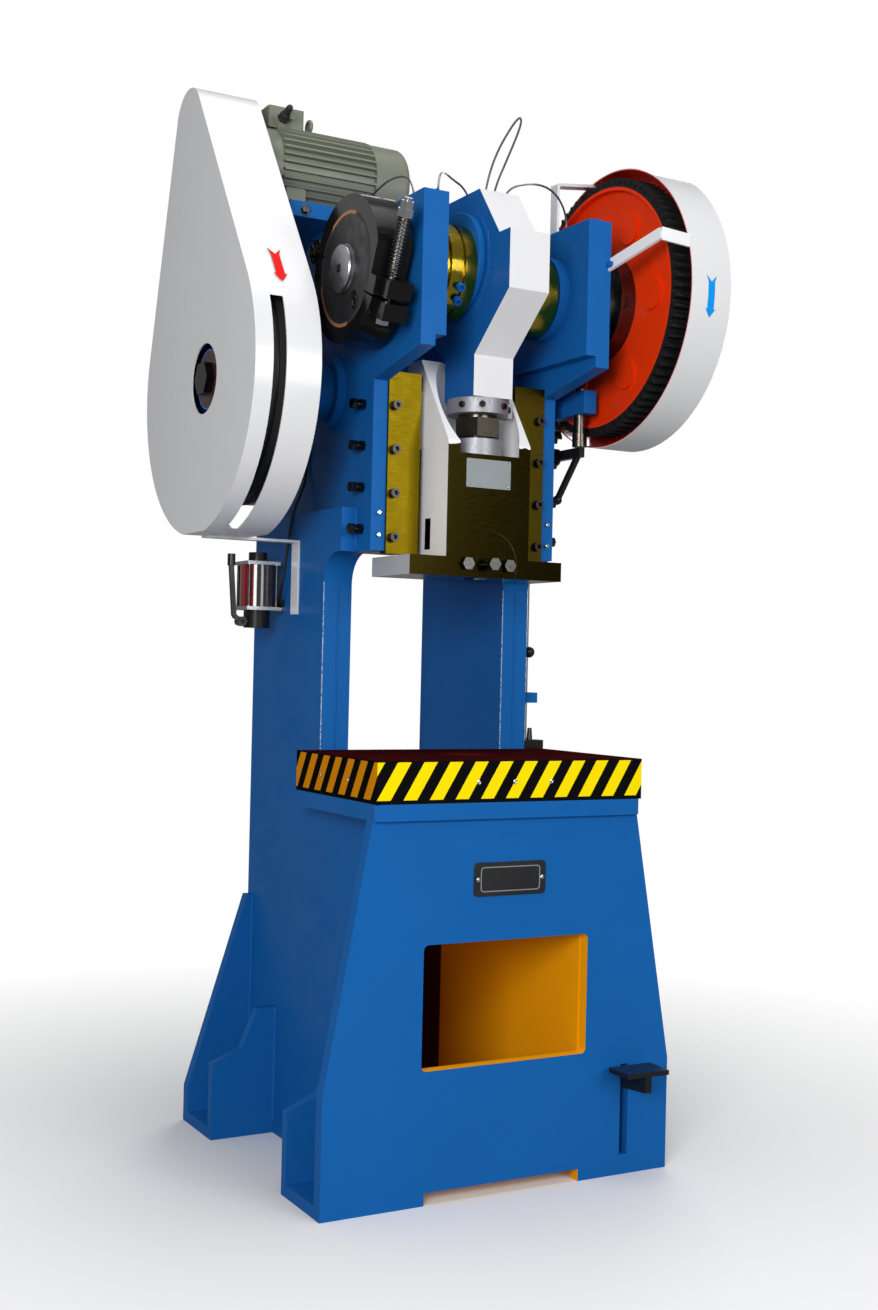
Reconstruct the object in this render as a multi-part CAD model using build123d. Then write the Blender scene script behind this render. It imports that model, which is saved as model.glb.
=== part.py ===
from build123d import *
import math
import os

# Open-back C-frame crank press. Millimetres, +Z up, floor at zero, X along the crankshaft,
# -Y towards the operator. The origin is the middle of the four anchor holes, on the floor.

# Fits and cuts
run_clearance = 0.05
slide_clearance = 0.3
seat_clearance = 0.3
cut_over = 20.0

# Base and table
table_height = 800.0
table_width = 570.0
table_depth = 349.5
bolster_thick = 77.0
bed_thick = 30.0
table_overhang = 12.5
bed_chamfer = 8.0
base_depth = 690.0
end_plate_thick = 25.0
foot_half_width = 371.0
front_knee_height = 214.0
rear_plate_height = 472.0
rear_plate_half_top = 248.0
rear_knee_height = 75.0
foot_plate_thick = 23.0
notch_half_width = 166.0
window_half_width = 177.0
window_low = 241.0
window_high = 468.0
window_corner = 10.0
front_foot_length = 143.0
rear_foot_length = 138.0
gusset_thick = 20.0
gusset_toe_height = 153.0
gusset_bend_run = 63.0
gusset_bend_rise = 27.0
front_gusset_height = 300.0
rear_gusset_height = 259.0
rear_gusset_top_run = 39.0
anchor_spacing_x = 607.0
anchor_from_end = 95.0
anchor_hole_r = 13.0
drop_hole_r = 60.0
table_bolt_spacing_x = 400.0
table_bolt_spacing_y = 220.0
table_bolt_hole_r = 8.5
table_bolt_hole_depth = 45.0

# Frame plates
cheek_inner = 175.0
cheek_thick = 30.0
side_plate_thick = 31.0
head_pad_thick = 22.0
throat_depth = 180.0
throat_round = 60.0
crank_above_table = 900.0
head_reach = 143.5
head_above_crank = 130.0
head_below_crank = 175.0
head_front_lift = 23.0
head_root_drop = 13.0
head_pad_lift = 44.0
head_pad_back = 140.0
head_boss_r = 82.0
head_boss_rise = 22.0
shoulder_drop = 80.0
shoulder_run = 45.0
side_plate_rise = 85.0
side_pad_reach = 75.0
tie_plate_thick = 25.0
tie_plate_back_gap = 120.0
tie_plate_height = 350.0
tie_plate_low = 60.0

# Slide guides
guide_above_ram_plate = 10.0
gib_inner = 106.0
gib_thick = 25.0
gib_front_reach = 35.5
gib_over_low = 5.0
gib_proud = 6.0
flange_outer = 138.0
flange_depth = 40.2
rail_depth = 87.5
gib_screw_count = 4
gib_screw_r = 6.0
gib_screw_head_r = 9.0
gib_screw_head_high = 12.0
gib_screw_socket_r = 5.0
gib_screw_grip = 30.0
gib_screw_inset = 13.0
gib_screw_low_end = 26.0
gib_screw_high_end = 60.0
adjuster_low_end = 42.0
adjuster_high_end = 57.0
adjuster_r = 6.0
adjuster_head_r = 10.5
adjuster_nut_thick = 11.0
adjuster_gap = 6.0
adjuster_head_thick = 11.0

# Ram, pitman and adjusting screw
ram_below_pin = 600.0
ram_half_width = 91.0
ram_depth = 170.0
ram_front_reach = 50.0
ram_top_rise = 388.0
ram_plate_half_width = 168.0
ram_plate_depth = 156.0
ram_plate_thick = 37.0
ram_flange_low = 50.0
ram_flange_high = 362.0
ram_slope_low = 220.0
ram_slope_run = 116.0
ram_pocket_r = 82.0
ram_pocket_floor = 198.0
knockout_width = 22.0
knockout_low = 16.0
knockout_high = 76.0
knockout_offset = 25.0
tool_bore_r = 25.0
tool_bore_depth = 53.0
tool_clamp_r = 65.0
tool_clamp_depth = 32.0
tool_clamp_rise = 25.0
tool_bolt_spacing = 46.0
tool_bolt_r = 8.0
tool_bolt_head_r = 13.0
tool_bolt_head_thick = 10.0
tool_bolt_reach = 30.0
pitman_thick = 86.0
pitman_length = 256.0
pitman_neck_half = 56.5
pitman_body_half = 178.5
pitman_split_rise = 35.0
pitman_body_drop = 75.0
pitman_neck_drop = 178.0
pitman_cap_foot_half = 139.5
pitman_cap_top_half = 62.5
pitman_cap_rise = 100.0
pitman_boss_r = 106.0
pitman_boss_rise = 3.0
big_end_play = 2.0
clamp_ring_r = 59.0
clamp_ring_thick = 29.0
clamp_ring_slot = 6.0
clamp_ear_reach = 12.0
screw_r = 38.0
screw_in_pitman = 105.0
screw_hex_r = 48.0
screw_hex_thick = 36.0
screw_hex_gap = 4.0
screw_neck_r = 30.0
ball_r = 40.0
ball_below_floor = 10.0
ball_cap_r = 47.0
ball_cap_thick = 32.0

# Crankshaft, gear, clutch hub and brake
crank_throw = 40.0
journal_r = 50.0
brake_seat_r = 42.0
crank_pin_r = 50.0
crank_web_r = 80.0
crank_web_gap = 3.0
sleeve_drop = 18.0
sleeve_r = 92.0
sleeve_groove_r = 87.0
sleeve_gap = 18.0
crank_collar_gap = 5.0
crank_collar_r = 98.0
crank_collar_thick = 12.0
sleeve_thick = 54.0
sleeve_groove = 2.5
bush_r = 62.0
gear_module = 6.0
gear_teeth = 84
pinion_teeth = 17
gear_pressure_deg = 20.0
tooth_fill_share = 0.92
addendum_share = 0.95
dedendum_share = 1.25
gear_inset = 72.0
gear_width = 50.0
gear_rim_thick = 11.0
gear_web_thick = 22.0
gear_web_inset = 14.0
gear_hub_r = 78.0
gear_hub_over = 20.0
gear_pad_count = 6
gear_pad_r = 30.0
gear_pad_circle = 165.0
gear_pad_rise = 6.0
clutch_flange_r = 108.0
clutch_flange_thick = 34.0
clutch_ring_r = 84.0
clutch_head_gap = 20.0
crank_end_cap_r = 66.0
crank_end_cap_thick = 12.0
brake_width = 70.0
brake_head_gap = 16.0
brake_drum_r = 100.0
brake_shaft_over = 11.0
brake_lining_thick = 6.5
brake_arm_thick = 30.0
brake_split_gap = 4.0
brake_tilt_deg = 24.4
brake_pin_circle = 148.0
brake_pin_r = 11.0
brake_ear_r = 24.0
brake_ear_gap = 1.0
brake_ear_width = 22.0
brake_lug_reach = 35.0
brake_lug_gap = 4.5
brake_lug_thick = 31.0
brake_lug_width = 48.0
brake_lug_drop = 17.5
brake_bolt_inset = 9.0
brake_flat_gap = 2.0
brake_bolt_r = 7.5
brake_bolt_hole_r = 13.0
brake_nut_r = 13.0
brake_nut_thick = 14.0
brake_seat_nut_r = 16.0
brake_bolt_over = 6.0
spring_r = 13.0
spring_wire_r = 2.4
spring_length = 108.0
spring_turns = 9
drum_hole_r = 14.0
drum_hole_circle = 72.0
drum_hole_deg = 238.0

# Flywheel drive
pinion_angle_deg = -38.3
pinion_over = 4.0
drive_shaft_r = 30.0
bearing_flange_r = 75.0
bearing_flange_thick = 18.0
bearing_nose_r = 56.0
bearing_nose_thick = 29.0
bearing_spigot_r = 52.0
flywheel_r = 236.0
flywheel_rim_thick = 40.0
flywheel_width = 96.0
flywheel_web_thick = 24.0
flywheel_hub_r = 58.0
flywheel_hub_over = 8.0
flywheel_hole_r = 34.0
flywheel_hole_count = 6
flywheel_nut_r = 34.0
flywheel_nut_thick = 16.0
belt_count = 3
belt_pitch = 21.0
belt_width = 15.0
belt_thick = 13.0
belt_proud = 1.0
belt_clearance = 1.0
motor_pulley_r = 58.0
guard_sheet = 3.0
guard_width = 130.0
guard_brake_gap = 52.0
guard_flat_drop = 294.0
guard_flywheel_gap = 14.0
guard_round_low = 300.0
guard_round_shift = 40.0
guard_round_top = 68.0
guard_above_motor = 67.0
guard_hole_r = 68.0
guard_slot_width = 26.0
guard_slot_inset = 35.0
guard_slot_rise = 122.0
guard_slot_drop = 288.0
guard_slot_back = 36.0
guard_bracket_width = 30.0
guard_bracket_thick = 5.0
guard_bracket_drop = 150.0
guard_bracket_reach = 200.0
guard_bracket_back = 37.0

# Motor and its plate
motor_behind_shaft = 123.7
motor_shaft_height = 95.0
motor_body_r = 82.0
motor_fin_r = 92.0
motor_fin_count = 36
motor_body_length = 205.0
motor_shield_length = 38.0
motor_shield_r = 84.0
motor_right_end = -13.0
motor_shaft_r = 14.0
motor_foot_width = 150.0
motor_foot_high = 50.0
motor_foot_inset = 10.0
motor_plate_lift = 20.0
motor_shaft_depth = 40.0
motor_box_seat = 80.0
motor_box_inset = 26.0
eye_bolt_inset = 116.0
motor_foot_length = 42.0
fan_cowl_length = 82.0
fan_cowl_r = 90.0
fan_cowl_round = 14.0
fan_slot_count = 10
fan_slot_width = 7.0
fan_slot_inner = 26.0
fan_slot_outer = 72.0
terminal_box_length = 78.0
terminal_box_width = 74.0
terminal_box_high = 44.0
terminal_lid_thick = 5.0
terminal_gland_r = 9.0
terminal_gland_length = 26.0
eye_bolt_r = 15.0
eye_bolt_wire_r = 4.5
motor_plate_thick = 30.0
motor_plate_fore = 146.5
motor_plate_aft = 118.5
motor_plate_left = -312.0
motor_plate_right = 205.0

# Gear guard
gear_guard_gap = 18.0
gear_guard_width = 92.0
gear_guard_set_back = 20.0
gear_guard_sheet = 3.0
gear_guard_hole_r = 90.0
gear_guard_pinion_gap = 14.0
guard_bar_width = 24.0
guard_bar_thick = 6.0
front_bar_rise = 42.0
front_bar_back = 18.0
front_bar_out = 32.0
front_bar_lean = 133.0
front_bar_lift = 46.0
front_bar_end_deg = 163.0
rear_bar_back = 40.0
rear_bar_rise = 115.0
rear_bar_inset = 12.0
rear_bar_end_deg = 75.0

# Trip gear and treadle
rod_x_gap = 33.0
trip_x_gap = 20.0
rod_r = 7.0
rod_behind_throat = 58.0
trip_pin_r = 13.0
trip_behind_crank = 27.0
trip_hub_high = 46.0
trip_hub_drop = 215.0
trip_arm_width = 30.0
trip_arm_front = 35.0
trip_arm_back = 126.0
trip_arm_root = 52.0
trip_pin_below = 38.0
trip_pin_above = 6.0
trip_collar_r = 15.0
trip_collar_thick = 26.0
trip_lever_pivot_back = 92.0
trip_lever_thick = 12.0
trip_lever_high = 20.0
trip_pivot_r = 8.0
trip_tail_drop = 90.0
trip_tail_run = 78.0
lever_gap = 1.5
lever_boss_r = 18.0
lever_hole_play = 3.0
fork_wall = 8.0
fork_side_gap = 2.0
fork_depth = 24.0
fork_gap = 8.0
fork_bridge = 16.0
fork_pin_r = 5.0
trip_tail_half = 5.0
pedal_width = 95.0
pedal_depth = 63.0
pedal_thick = 9.0
pedal_height = 213.0
pedal_reach = 78.0
pedal_lever_thick = 14.0
pedal_lever_high = 32.0
pedal_lever_axis = 140.0
pedal_lever_rise = 50.0
pedal_pivot_from_back = 80.0
pedal_pivot_r = 12.0
pedal_slot_width = 18.0
pedal_slot_low = 38.0
pedal_slot_high = 212.0
rod_guide_above_table = 96.0
rod_guide_thick = 22.0
rod_guide_depth = 56.0
rod_guide_over = 16.0
knob_above_table = 204.0
knob_behind_throat = 28.0
knob_r = 12.0
knob_stem_r = 5.0
knob_stem_length = 24.0
stop_block_length = 51.0
stop_block_width = 30.0
stop_block_high = 40.0
stop_above_table = 18.0
stop_peg_r = 6.5
stop_peg_tip_r = 4.5
stop_peg_high = 25.0
stop_table_gap = 6.0

# Hand lubricator
pump_out = 54.0
pump_behind_shaft = 152.2
pump_below_side_top = 232.0
pump_base_high = 36.0
pump_base_r = 27.0
pump_arm_half = 14.0
pump_foot_half = 20.0
pump_foot_thick = 6.0
pump_foot_high = 24.0
pump_flange_half = 36.0
pump_flange_thick = 7.0
reservoir_r = 36.0
reservoir_wall = 3.0
reservoir_high = 86.0
pump_cap_r = 19.0
pump_cap_high = 19.0
pump_tie_r = 3.0
pump_pivot_r = 5.0
pump_pivot_out = 38.0
pump_pivot_rise = 12.0
pump_ear_r = 9.0
pump_ear_half = 5.0
handle_r = 4.5
handle_hub_r = 10.0
handle_hub_thick = 14.0
handle_elbow_out = 17.0
handle_elbow_rise = 11.0
handle_out = 25.0
handle_rise = 113.0
handle_knob_r = 8.0
handle_knob_long = 24.0

# Places worked out from the sizes above
bolster_low = table_height - bolster_thick
base_height = bolster_low - bed_thick
base_front = -base_depth / 2
base_back = base_depth / 2
anchor_y = base_back - anchor_from_end
jaw_front = base_front + end_plate_thick
jaw_back = base_back - end_plate_thick
bed_front = base_front - table_overhang
throat_y = bed_front + table_depth
crank_y = throat_y - throat_depth
crank_z = table_height + crank_above_table
pin_z = crank_z + crank_throw
cheek_outer = cheek_inner + cheek_thick
side_outer = cheek_outer + side_plate_thick
pad_inner = cheek_inner - head_pad_thick
head_front = crank_y - head_reach
head_top = crank_z + head_above_crank
head_low = crank_z - head_below_crank
ram_low = pin_z - ram_below_pin
ram_plate_top = ram_low + ram_plate_thick
ram_front = crank_y - ram_front_reach
ram_back = ram_front + ram_depth
ram_top = ram_plate_top + ram_top_rise
pocket_floor = ram_plate_top + ram_pocket_floor
guide_low = ram_plate_top + guide_above_ram_plate
gib_front = crank_y + gib_front_reach
gib_back = gib_front + gib_thick
guide_front = gib_front + gib_proud
rail_back = gib_back + rail_depth
side_top = guide_low + side_plate_rise
pitman_low = pin_z - pitman_length
pitman_half = pitman_thick / 2
boss_half = pitman_half + pitman_boss_rise
split_z = pin_z + pitman_split_rise
ball_z = pocket_floor - ball_below_floor
ball_cap_top = pocket_floor + ball_cap_thick
hex_low = ball_cap_top + screw_hex_gap
hex_high = hex_low + screw_hex_thick
gear_left = cheek_outer + gear_inset
gear_right = gear_left + gear_width
gear_web_left = gear_left + gear_web_inset
gear_web_right = gear_web_left + gear_web_thick
gear_hub_right = gear_right + gear_hub_over
clutch_left = cheek_outer + clutch_head_gap
gear_pitch_r = gear_module * gear_teeth / 2
pinion_pitch_r = gear_module * pinion_teeth / 2
shaft_distance = gear_pitch_r + pinion_pitch_r
shaft_y = crank_y + shaft_distance * math.cos(math.radians(pinion_angle_deg))
shaft_z = crank_z + shaft_distance * math.sin(math.radians(pinion_angle_deg))
brake_right = -cheek_outer - brake_head_gap
brake_left = brake_right - brake_width
lining_in = brake_drum_r + seat_clearance
arm_in = lining_in + brake_lining_thick
arm_out = arm_in + brake_arm_thick
brake_middle = (brake_left + brake_right) / 2
brake_bolt_y = brake_bolt_inset - arm_out
upper_lug_low = brake_lug_gap - brake_lug_drop
upper_lug_top = upper_lug_low + brake_lug_thick
lower_lug_top = -brake_lug_gap - brake_lug_drop
lower_lug_low = lower_lug_top - brake_lug_thick
guard_right = brake_left - guard_brake_gap
guard_left = guard_right - guard_width
flywheel_left = guard_left + guard_sheet + guard_flywheel_gap
flywheel_right = flywheel_left + flywheel_width
motor_y = shaft_y + motor_behind_shaft
motor_plate_front = motor_y - motor_plate_fore
motor_plate_back = motor_y + motor_plate_aft
gear_guard_in = gear_pitch_r + gear_module + gear_guard_gap
gear_guard_left = gear_left + gear_guard_set_back
gear_guard_right = gear_guard_left + gear_guard_width
rod_x = side_outer + rod_x_gap
rod_y = throat_y + rod_behind_throat
rod_guide_low = table_height + rod_guide_above_table
pedal_pivot_y = jaw_back - pedal_pivot_from_back
pedal_front = base_front - pedal_reach
pedal_rod_share = (pedal_pivot_y - rod_y) / (pedal_pivot_y - pedal_front)
pedal_rod_z = pedal_lever_axis + pedal_lever_rise * pedal_rod_share
knob_y = throat_y + knob_behind_throat
knob_z = table_height + knob_above_table
trip_x = side_outer + trip_x_gap
trip_y = crank_y + trip_behind_crank
trip_hub_low = crank_z - trip_hub_drop
trip_collar_low = trip_hub_low - trip_pin_below - trip_collar_thick
trip_lever_z = trip_collar_low - lever_gap - trip_lever_high / 2
trip_pivot_y = trip_y + trip_lever_pivot_back
big_end_r = crank_pin_r + crank_throw + big_end_play
crank_web_outer = pad_inner - head_boss_rise - crank_web_gap
sleeve_z = pin_z - sleeve_drop
sleeve_right = -pitman_half - sleeve_gap
sleeve_left = sleeve_right - sleeve_thick
pump_x = -side_outer - pump_out
pump_y = shaft_y + pump_behind_shaft
pump_low = side_top - pump_below_side_top
pump_flange_low = pump_low + pump_base_high
pump_pivot_x = pump_x - pump_pivot_out
pump_pivot_z = pump_low + pump_pivot_rise
reservoir_low = pump_flange_low + pump_flange_thick
reservoir_top = reservoir_low + reservoir_high
motor_cowl_left = motor_right_end - fan_cowl_length
motor_body_left = motor_cowl_left - motor_body_length
motor_shield_left = motor_body_left - motor_shield_length
motor_plate_low = head_top + motor_plate_lift
motor_plate_top = motor_plate_low + motor_plate_thick
motor_z = motor_plate_top + motor_shaft_height

pieces = {}


def block(x_span, y_span, z_span):
    """Box between the low and high end of each span."""
    low = Vector(x_span[0], y_span[0], z_span[0])
    high = Vector(x_span[1], y_span[1], z_span[1])
    size = high - low
    middle = (low + high) * 0.5
    return Pos(middle.X, middle.Y, middle.Z) * Box(size.X, size.Y, size.Z)


def x_face(sketch, x_low):
    """A flat shape drawn in (Y, Z), set at x_low."""
    return Plane.YZ.offset(x_low) * sketch


def x_slab(sketch, x_low, x_high):
    return extrude(x_face(sketch, x_low), x_high - x_low, dir=(1, 0, 0))


def x_plate(points, x_low, x_high):
    return x_slab(make_face(Polyline(*points, close=True)), x_low, x_high)


def y_plate(points, y_low, y_high):
    """Plate with an outline drawn in (X, Z), between y_low and y_high."""
    plane = Plane(origin=(0, y_low, 0), x_dir=(1, 0, 0), z_dir=(0, -1, 0))
    face = plane * make_face(Polyline(*points, close=True))
    return extrude(face, y_high - y_low, dir=(0, 1, 0))


def x_rod(x_low, x_high, y, z, radius):
    return x_slab(Pos(y, z) * Circle(radius), x_low, x_high)


def x_ring(x_low, x_high, y, z, outer, inner):
    return x_slab(Pos(y, z) * (Circle(outer) - Circle(inner)), x_low, x_high)


def x_hex(x_low, x_high, y, z, radius):
    return x_slab(Pos(y, z) * RegularPolygon(radius, 6), x_low, x_high)


def y_rod(y_low, y_high, x, z, radius):
    plane = Plane(origin=(x, y_low, z), x_dir=(1, 0, 0), z_dir=(0, 1, 0))
    return extrude(plane * Circle(radius), y_high - y_low)


def y_hex(y_low, y_high, x, z, radius):
    plane = Plane(origin=(x, y_low, z), x_dir=(1, 0, 0), z_dir=(0, 1, 0))
    return extrude(plane * RegularPolygon(radius, 6), y_high - y_low)


def z_rod(z_low, z_high, x, y, radius):
    return extrude(Plane.XY.offset(z_low) * (Pos(x, y) * Circle(radius)), z_high - z_low)


def z_hex(z_low, z_high, x, y, radius):
    return extrude(Plane.XY.offset(z_low) * (Pos(x, y) * RegularPolygon(radius, 6)), z_high - z_low)


def flat_bar(start, end, width, thick, flat):
    """Flat bar from start to end, whose width runs along the direction called flat."""
    run = Vector(*end) - Vector(*start)
    plane = Plane(origin=start, x_dir=flat, z_dir=run.normalized())
    return extrude(plane * Rectangle(width, thick), run.length)


def on_other_side(shape):
    return mirror(shape, about=Plane.YZ)


def edge_near(shape, axis, point):
    """The straight edge along an axis whose middle is nearest to a point."""
    target = Vector(*point)
    return shape.edges().filter_by(axis).sort_by(lambda edge: (edge.center() - target).length)[0]


def spaced(low, high, count):
    """Evenly spaced places from low to high."""
    return [low + (high - low) * index / (count - 1) for index in range(count)]


def teardrop(low_y, low_z, low_r, high_y, high_z, high_r):
    """Two circles and the two straight tangents that join them, drawn in (Y, Z)."""
    span = math.hypot(high_y - low_y, high_z - low_z)
    lean = math.atan2(high_z - low_z, high_y - low_y)
    turn = math.acos((low_r - high_r) / span)
    corners = []
    for side in (1, -1):
        direction = (math.cos(lean + side * turn), math.sin(lean + side * turn))
        low_point = (low_y + low_r * direction[0], low_z + low_r * direction[1])
        high_point = (high_y + high_r * direction[0], high_z + high_r * direction[1])
        corners += [low_point, high_point] if side > 0 else [high_point, low_point]
    body = make_face(Polyline(*corners, close=True))
    return body + Pos(low_y, low_z) * Circle(low_r) + Pos(high_y, high_z) * Circle(high_r)


def gear_face(teeth, first_tooth_deg):
    """Spur gear outline about (0, 0) with involute flanks; one tooth points along first_tooth_deg."""
    pitch_r = gear_module * teeth / 2
    pressure = math.radians(gear_pressure_deg)
    base_r = pitch_r * math.cos(pressure)
    tip_r = pitch_r + gear_module * addendum_share
    root_r = pitch_r - gear_module * dedendum_share
    half_at_pitch = math.pi / (2 * teeth) * tooth_fill_share + math.tan(pressure) - pressure
    flank = []
    for radius in (max(base_r, root_r), pitch_r, tip_r):
        roll = math.acos(min(base_r / radius, 1.0))
        flank.append((radius, half_at_pitch - math.tan(roll) + roll))
    if root_r < base_r:
        flank.insert(0, (root_r, flank[0][1]))
    points = []
    for index in range(teeth):
        middle = math.radians(first_tooth_deg) + 2 * math.pi * index / teeth
        for radius, half in flank:
            points.append((radius * math.cos(middle - half), radius * math.sin(middle - half)))
        for radius, half in reversed(flank):
            points.append((radius * math.cos(middle + half), radius * math.sin(middle + half)))
    return make_face(Polyline(*points, close=True))


# Welded frame: two C-shaped cheeks, outer side plates, end plates, table and feet

gib_screw_heights = spaced(guide_low + gib_screw_low_end, head_low - gib_screw_high_end, gib_screw_count)
adjuster_heights = spaced(guide_low + adjuster_low_end, head_low - adjuster_high_end, gib_screw_count)
adjuster_y = gib_back + flange_depth / 2


def round_throat(plate, x_middle):
    return fillet(edge_near(plate, Axis.X, (x_middle, throat_y, guide_low)), throat_round)


def cheek():
    outline = [
        (jaw_front, 0), (jaw_back, 0), (jaw_back, rear_plate_height), (base_back, rear_plate_height),
        (base_back, head_top - shoulder_drop), (base_back - shoulder_run, head_top),
        (head_front, head_top), (head_front, head_low + head_front_lift),
        (guide_front, head_low - head_root_drop), (guide_front, guide_low), (throat_y, guide_low),
        (throat_y, base_height),
        (jaw_front, base_height)]
    plate = x_plate(outline, cheek_inner, cheek_outer)
    plate = round_throat(plate, (cheek_inner + cheek_outer) / 2)
    low = cheek_inner - cut_over
    high = cheek_outer + cut_over
    plate -= x_rod(low, high, crank_y, crank_z, bush_r + run_clearance)
    plate -= x_rod(low, high, shaft_y, shaft_z, bearing_spigot_r + run_clearance)
    for height in adjuster_heights:
        plate -= x_rod(low, high, adjuster_y, height, adjuster_r + seat_clearance)
    return plate


def side_plate():
    outline = [
        (jaw_front, 0), (jaw_back, 0), (jaw_back, rear_plate_height), (base_back, rear_plate_height),
        (base_back, side_top), (throat_y - side_pad_reach, side_top),
        (throat_y - side_pad_reach, guide_low), (throat_y, guide_low), (throat_y, base_height),
        (jaw_front, base_height)]
    plate = x_plate(outline, cheek_outer, side_outer)
    return round_throat(plate, (cheek_outer + side_outer) / 2)


def head_pad():
    pad = block((pad_inner, cheek_inner), (head_front, crank_y + head_pad_back),
                (head_low + head_pad_lift, head_top))
    pad += x_rod(pad_inner - head_boss_rise, pad_inner, crank_y, crank_z, head_boss_r)
    return pad - x_rod(pad_inner - head_boss_rise - cut_over, cheek_outer, crank_y, crank_z,
                       bush_r + run_clearance)


def end_plate(half_top, top, knee, y_low, y_high):
    outline = [
        (-foot_half_width, 0), (-notch_half_width, 0), (-notch_half_width, foot_plate_thick),
        (notch_half_width, foot_plate_thick), (notch_half_width, 0), (foot_half_width, 0),
        (foot_half_width, knee), (half_top, top), (-half_top, top), (-foot_half_width, knee)]
    return y_plate(outline, y_low, y_high)


def front_plate():
    plate = end_plate(table_width / 2, base_height, front_knee_height, base_front, jaw_front)
    y_span = (base_front - cut_over, jaw_front + cut_over)
    window = block((-window_half_width, window_half_width), y_span, (window_low, window_high))
    window = fillet(window.edges().filter_by(Axis.Y), window_corner)
    slot = block((rod_x - pedal_slot_width / 2, rod_x + pedal_slot_width / 2), y_span,
                 (pedal_slot_low, pedal_slot_high))
    return plate - window - slot


def foot(y_low, y_high, gusset_low, gusset_points):
    plate = block((side_outer, foot_half_width), (y_low, y_high), (0, foot_plate_thick))
    plate += y_plate(gusset_points, gusset_low, gusset_low + gusset_thick)
    middle_y = math.copysign(anchor_y, y_low + y_high)
    return plate - z_rod(-cut_over, foot_plate_thick + cut_over, anchor_spacing_x / 2, middle_y,
                         anchor_hole_r)


def feet():
    toe = [(side_outer, 0), (foot_half_width, 0), (foot_half_width, gusset_toe_height),
           (foot_half_width - gusset_bend_run, gusset_toe_height + gusset_bend_rise)]
    front_back = jaw_front + front_foot_length
    front = foot(jaw_front, front_back, front_back - gusset_thick,
                 toe + [(side_outer, front_gusset_height)])
    rear_front = jaw_back - rear_foot_length
    rear = foot(rear_front, jaw_back, rear_front,
                toe + [(side_outer + rear_gusset_top_run, rear_gusset_height),
                       (side_outer, rear_gusset_height)])
    slot = block((rod_x - pedal_slot_width / 2, rod_x + pedal_slot_width / 2),
                 (jaw_front, jaw_back), (pedal_slot_low, pedal_slot_high))
    pieces["front_feet"] = Compound(children=[on_other_side(front), front - slot])
    pieces["rear_feet"] = Compound(children=[on_other_side(rear), rear - slot])


def table():
    x_span = (-table_width / 2, table_width / 2)
    y_span = (bed_front, throat_y)
    bed = block(x_span, y_span, (base_height, bolster_low))
    corners = bed.edges().filter_by(Axis.Z).sort_by(Axis.Y)[:2]
    bed = chamfer(corners, bed_chamfer)
    bed -= z_rod(base_height - cut_over, table_height, 0, crank_y, drop_hole_r)
    bolster = block(x_span, y_span, (bolster_low, table_height))
    bolster -= z_rod(bolster_low - cut_over, table_height + cut_over, 0, crank_y, drop_hole_r)
    for x in (-table_bolt_spacing_x / 2, table_bolt_spacing_x / 2):
        for y in (crank_y - table_bolt_spacing_y / 2, crank_y + table_bolt_spacing_y / 2):
            bolster -= z_rod(table_height - table_bolt_hole_depth, table_height + cut_over, x, y,
                             table_bolt_hole_r)
    pieces["bed_plate"] = bed
    pieces["bolster_plate"] = bolster


def frame():
    right_cheek = cheek()
    pieces["left_cheek"] = on_other_side(right_cheek)
    pieces["right_cheek"] = right_cheek
    right_plate = side_plate()
    pieces["left_side_plate"] = on_other_side(right_plate)
    pieces["right_side_plate"] = right_plate
    pad = head_pad()
    pieces["head_pads"] = Compound(children=[on_other_side(pad), pad])
    pieces["front_plate"] = front_plate()
    pieces["rear_plate"] = end_plate(rear_plate_half_top, rear_plate_height, rear_knee_height,
                                     jaw_back, base_back)
    tie_back = base_back - tie_plate_back_gap
    pieces["back_tie_plate"] = block((-cheek_inner, cheek_inner), (tie_back - tie_plate_thick, tie_back),
                                     (side_top + tie_plate_low, side_top + tie_plate_low + tie_plate_height))
    bush = x_ring(pad_inner - head_boss_rise, cheek_outer, crank_y, crank_z, bush_r,
                  journal_r + run_clearance)
    pieces["main_bushes"] = Compound(children=[on_other_side(bush), bush])


# Slide guides: an L-shaped rail on each cheek, closed in front by a gib plate

def gib_plate():
    plate = block((gib_inner, cheek_inner), (gib_front, gib_back),
                  (guide_low - gib_over_low, head_low + gib_over_low))
    for height in gib_screw_heights:
        plate -= y_rod(gib_front - cut_over, gib_back + cut_over, cheek_inner - gib_screw_inset, height,
                       gib_screw_r + seat_clearance)
    return plate


def guide_rail():
    rail = block((gib_inner, cheek_inner), (gib_back, rail_back), (guide_low, head_low))
    rail -= block((gib_inner - cut_over, flange_outer + slide_clearance),
                  (gib_back - cut_over, gib_back + flange_depth + slide_clearance * 2),
                  (guide_low - cut_over, head_low + cut_over))
    for height in gib_screw_heights:
        rail -= y_rod(gib_back - cut_over, gib_back + gib_screw_grip, cheek_inner - gib_screw_inset,
                      height, gib_screw_r + seat_clearance)
    return rail


def gib_screw(x, z):
    screw = y_rod(gib_front, gib_back + gib_screw_grip, x, z, gib_screw_r)
    head_front = gib_front - gib_screw_head_high
    screw += y_rod(head_front, gib_front, x, z, gib_screw_head_r)
    return screw - y_hex(head_front - cut_over, head_front + gib_screw_head_high / 2, x, z,
                         gib_screw_socket_r)


def adjuster(z):
    nut_end = cheek_outer + adjuster_nut_thick
    head_start = nut_end + adjuster_gap
    head_end = head_start + adjuster_head_thick
    bolt = x_rod(cheek_inner, head_end, adjuster_y, z, adjuster_r)
    bolt += x_hex(cheek_outer, nut_end, adjuster_y, z, adjuster_head_r)
    return bolt + x_hex(head_start, head_end, adjuster_y, z, adjuster_head_r)


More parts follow.
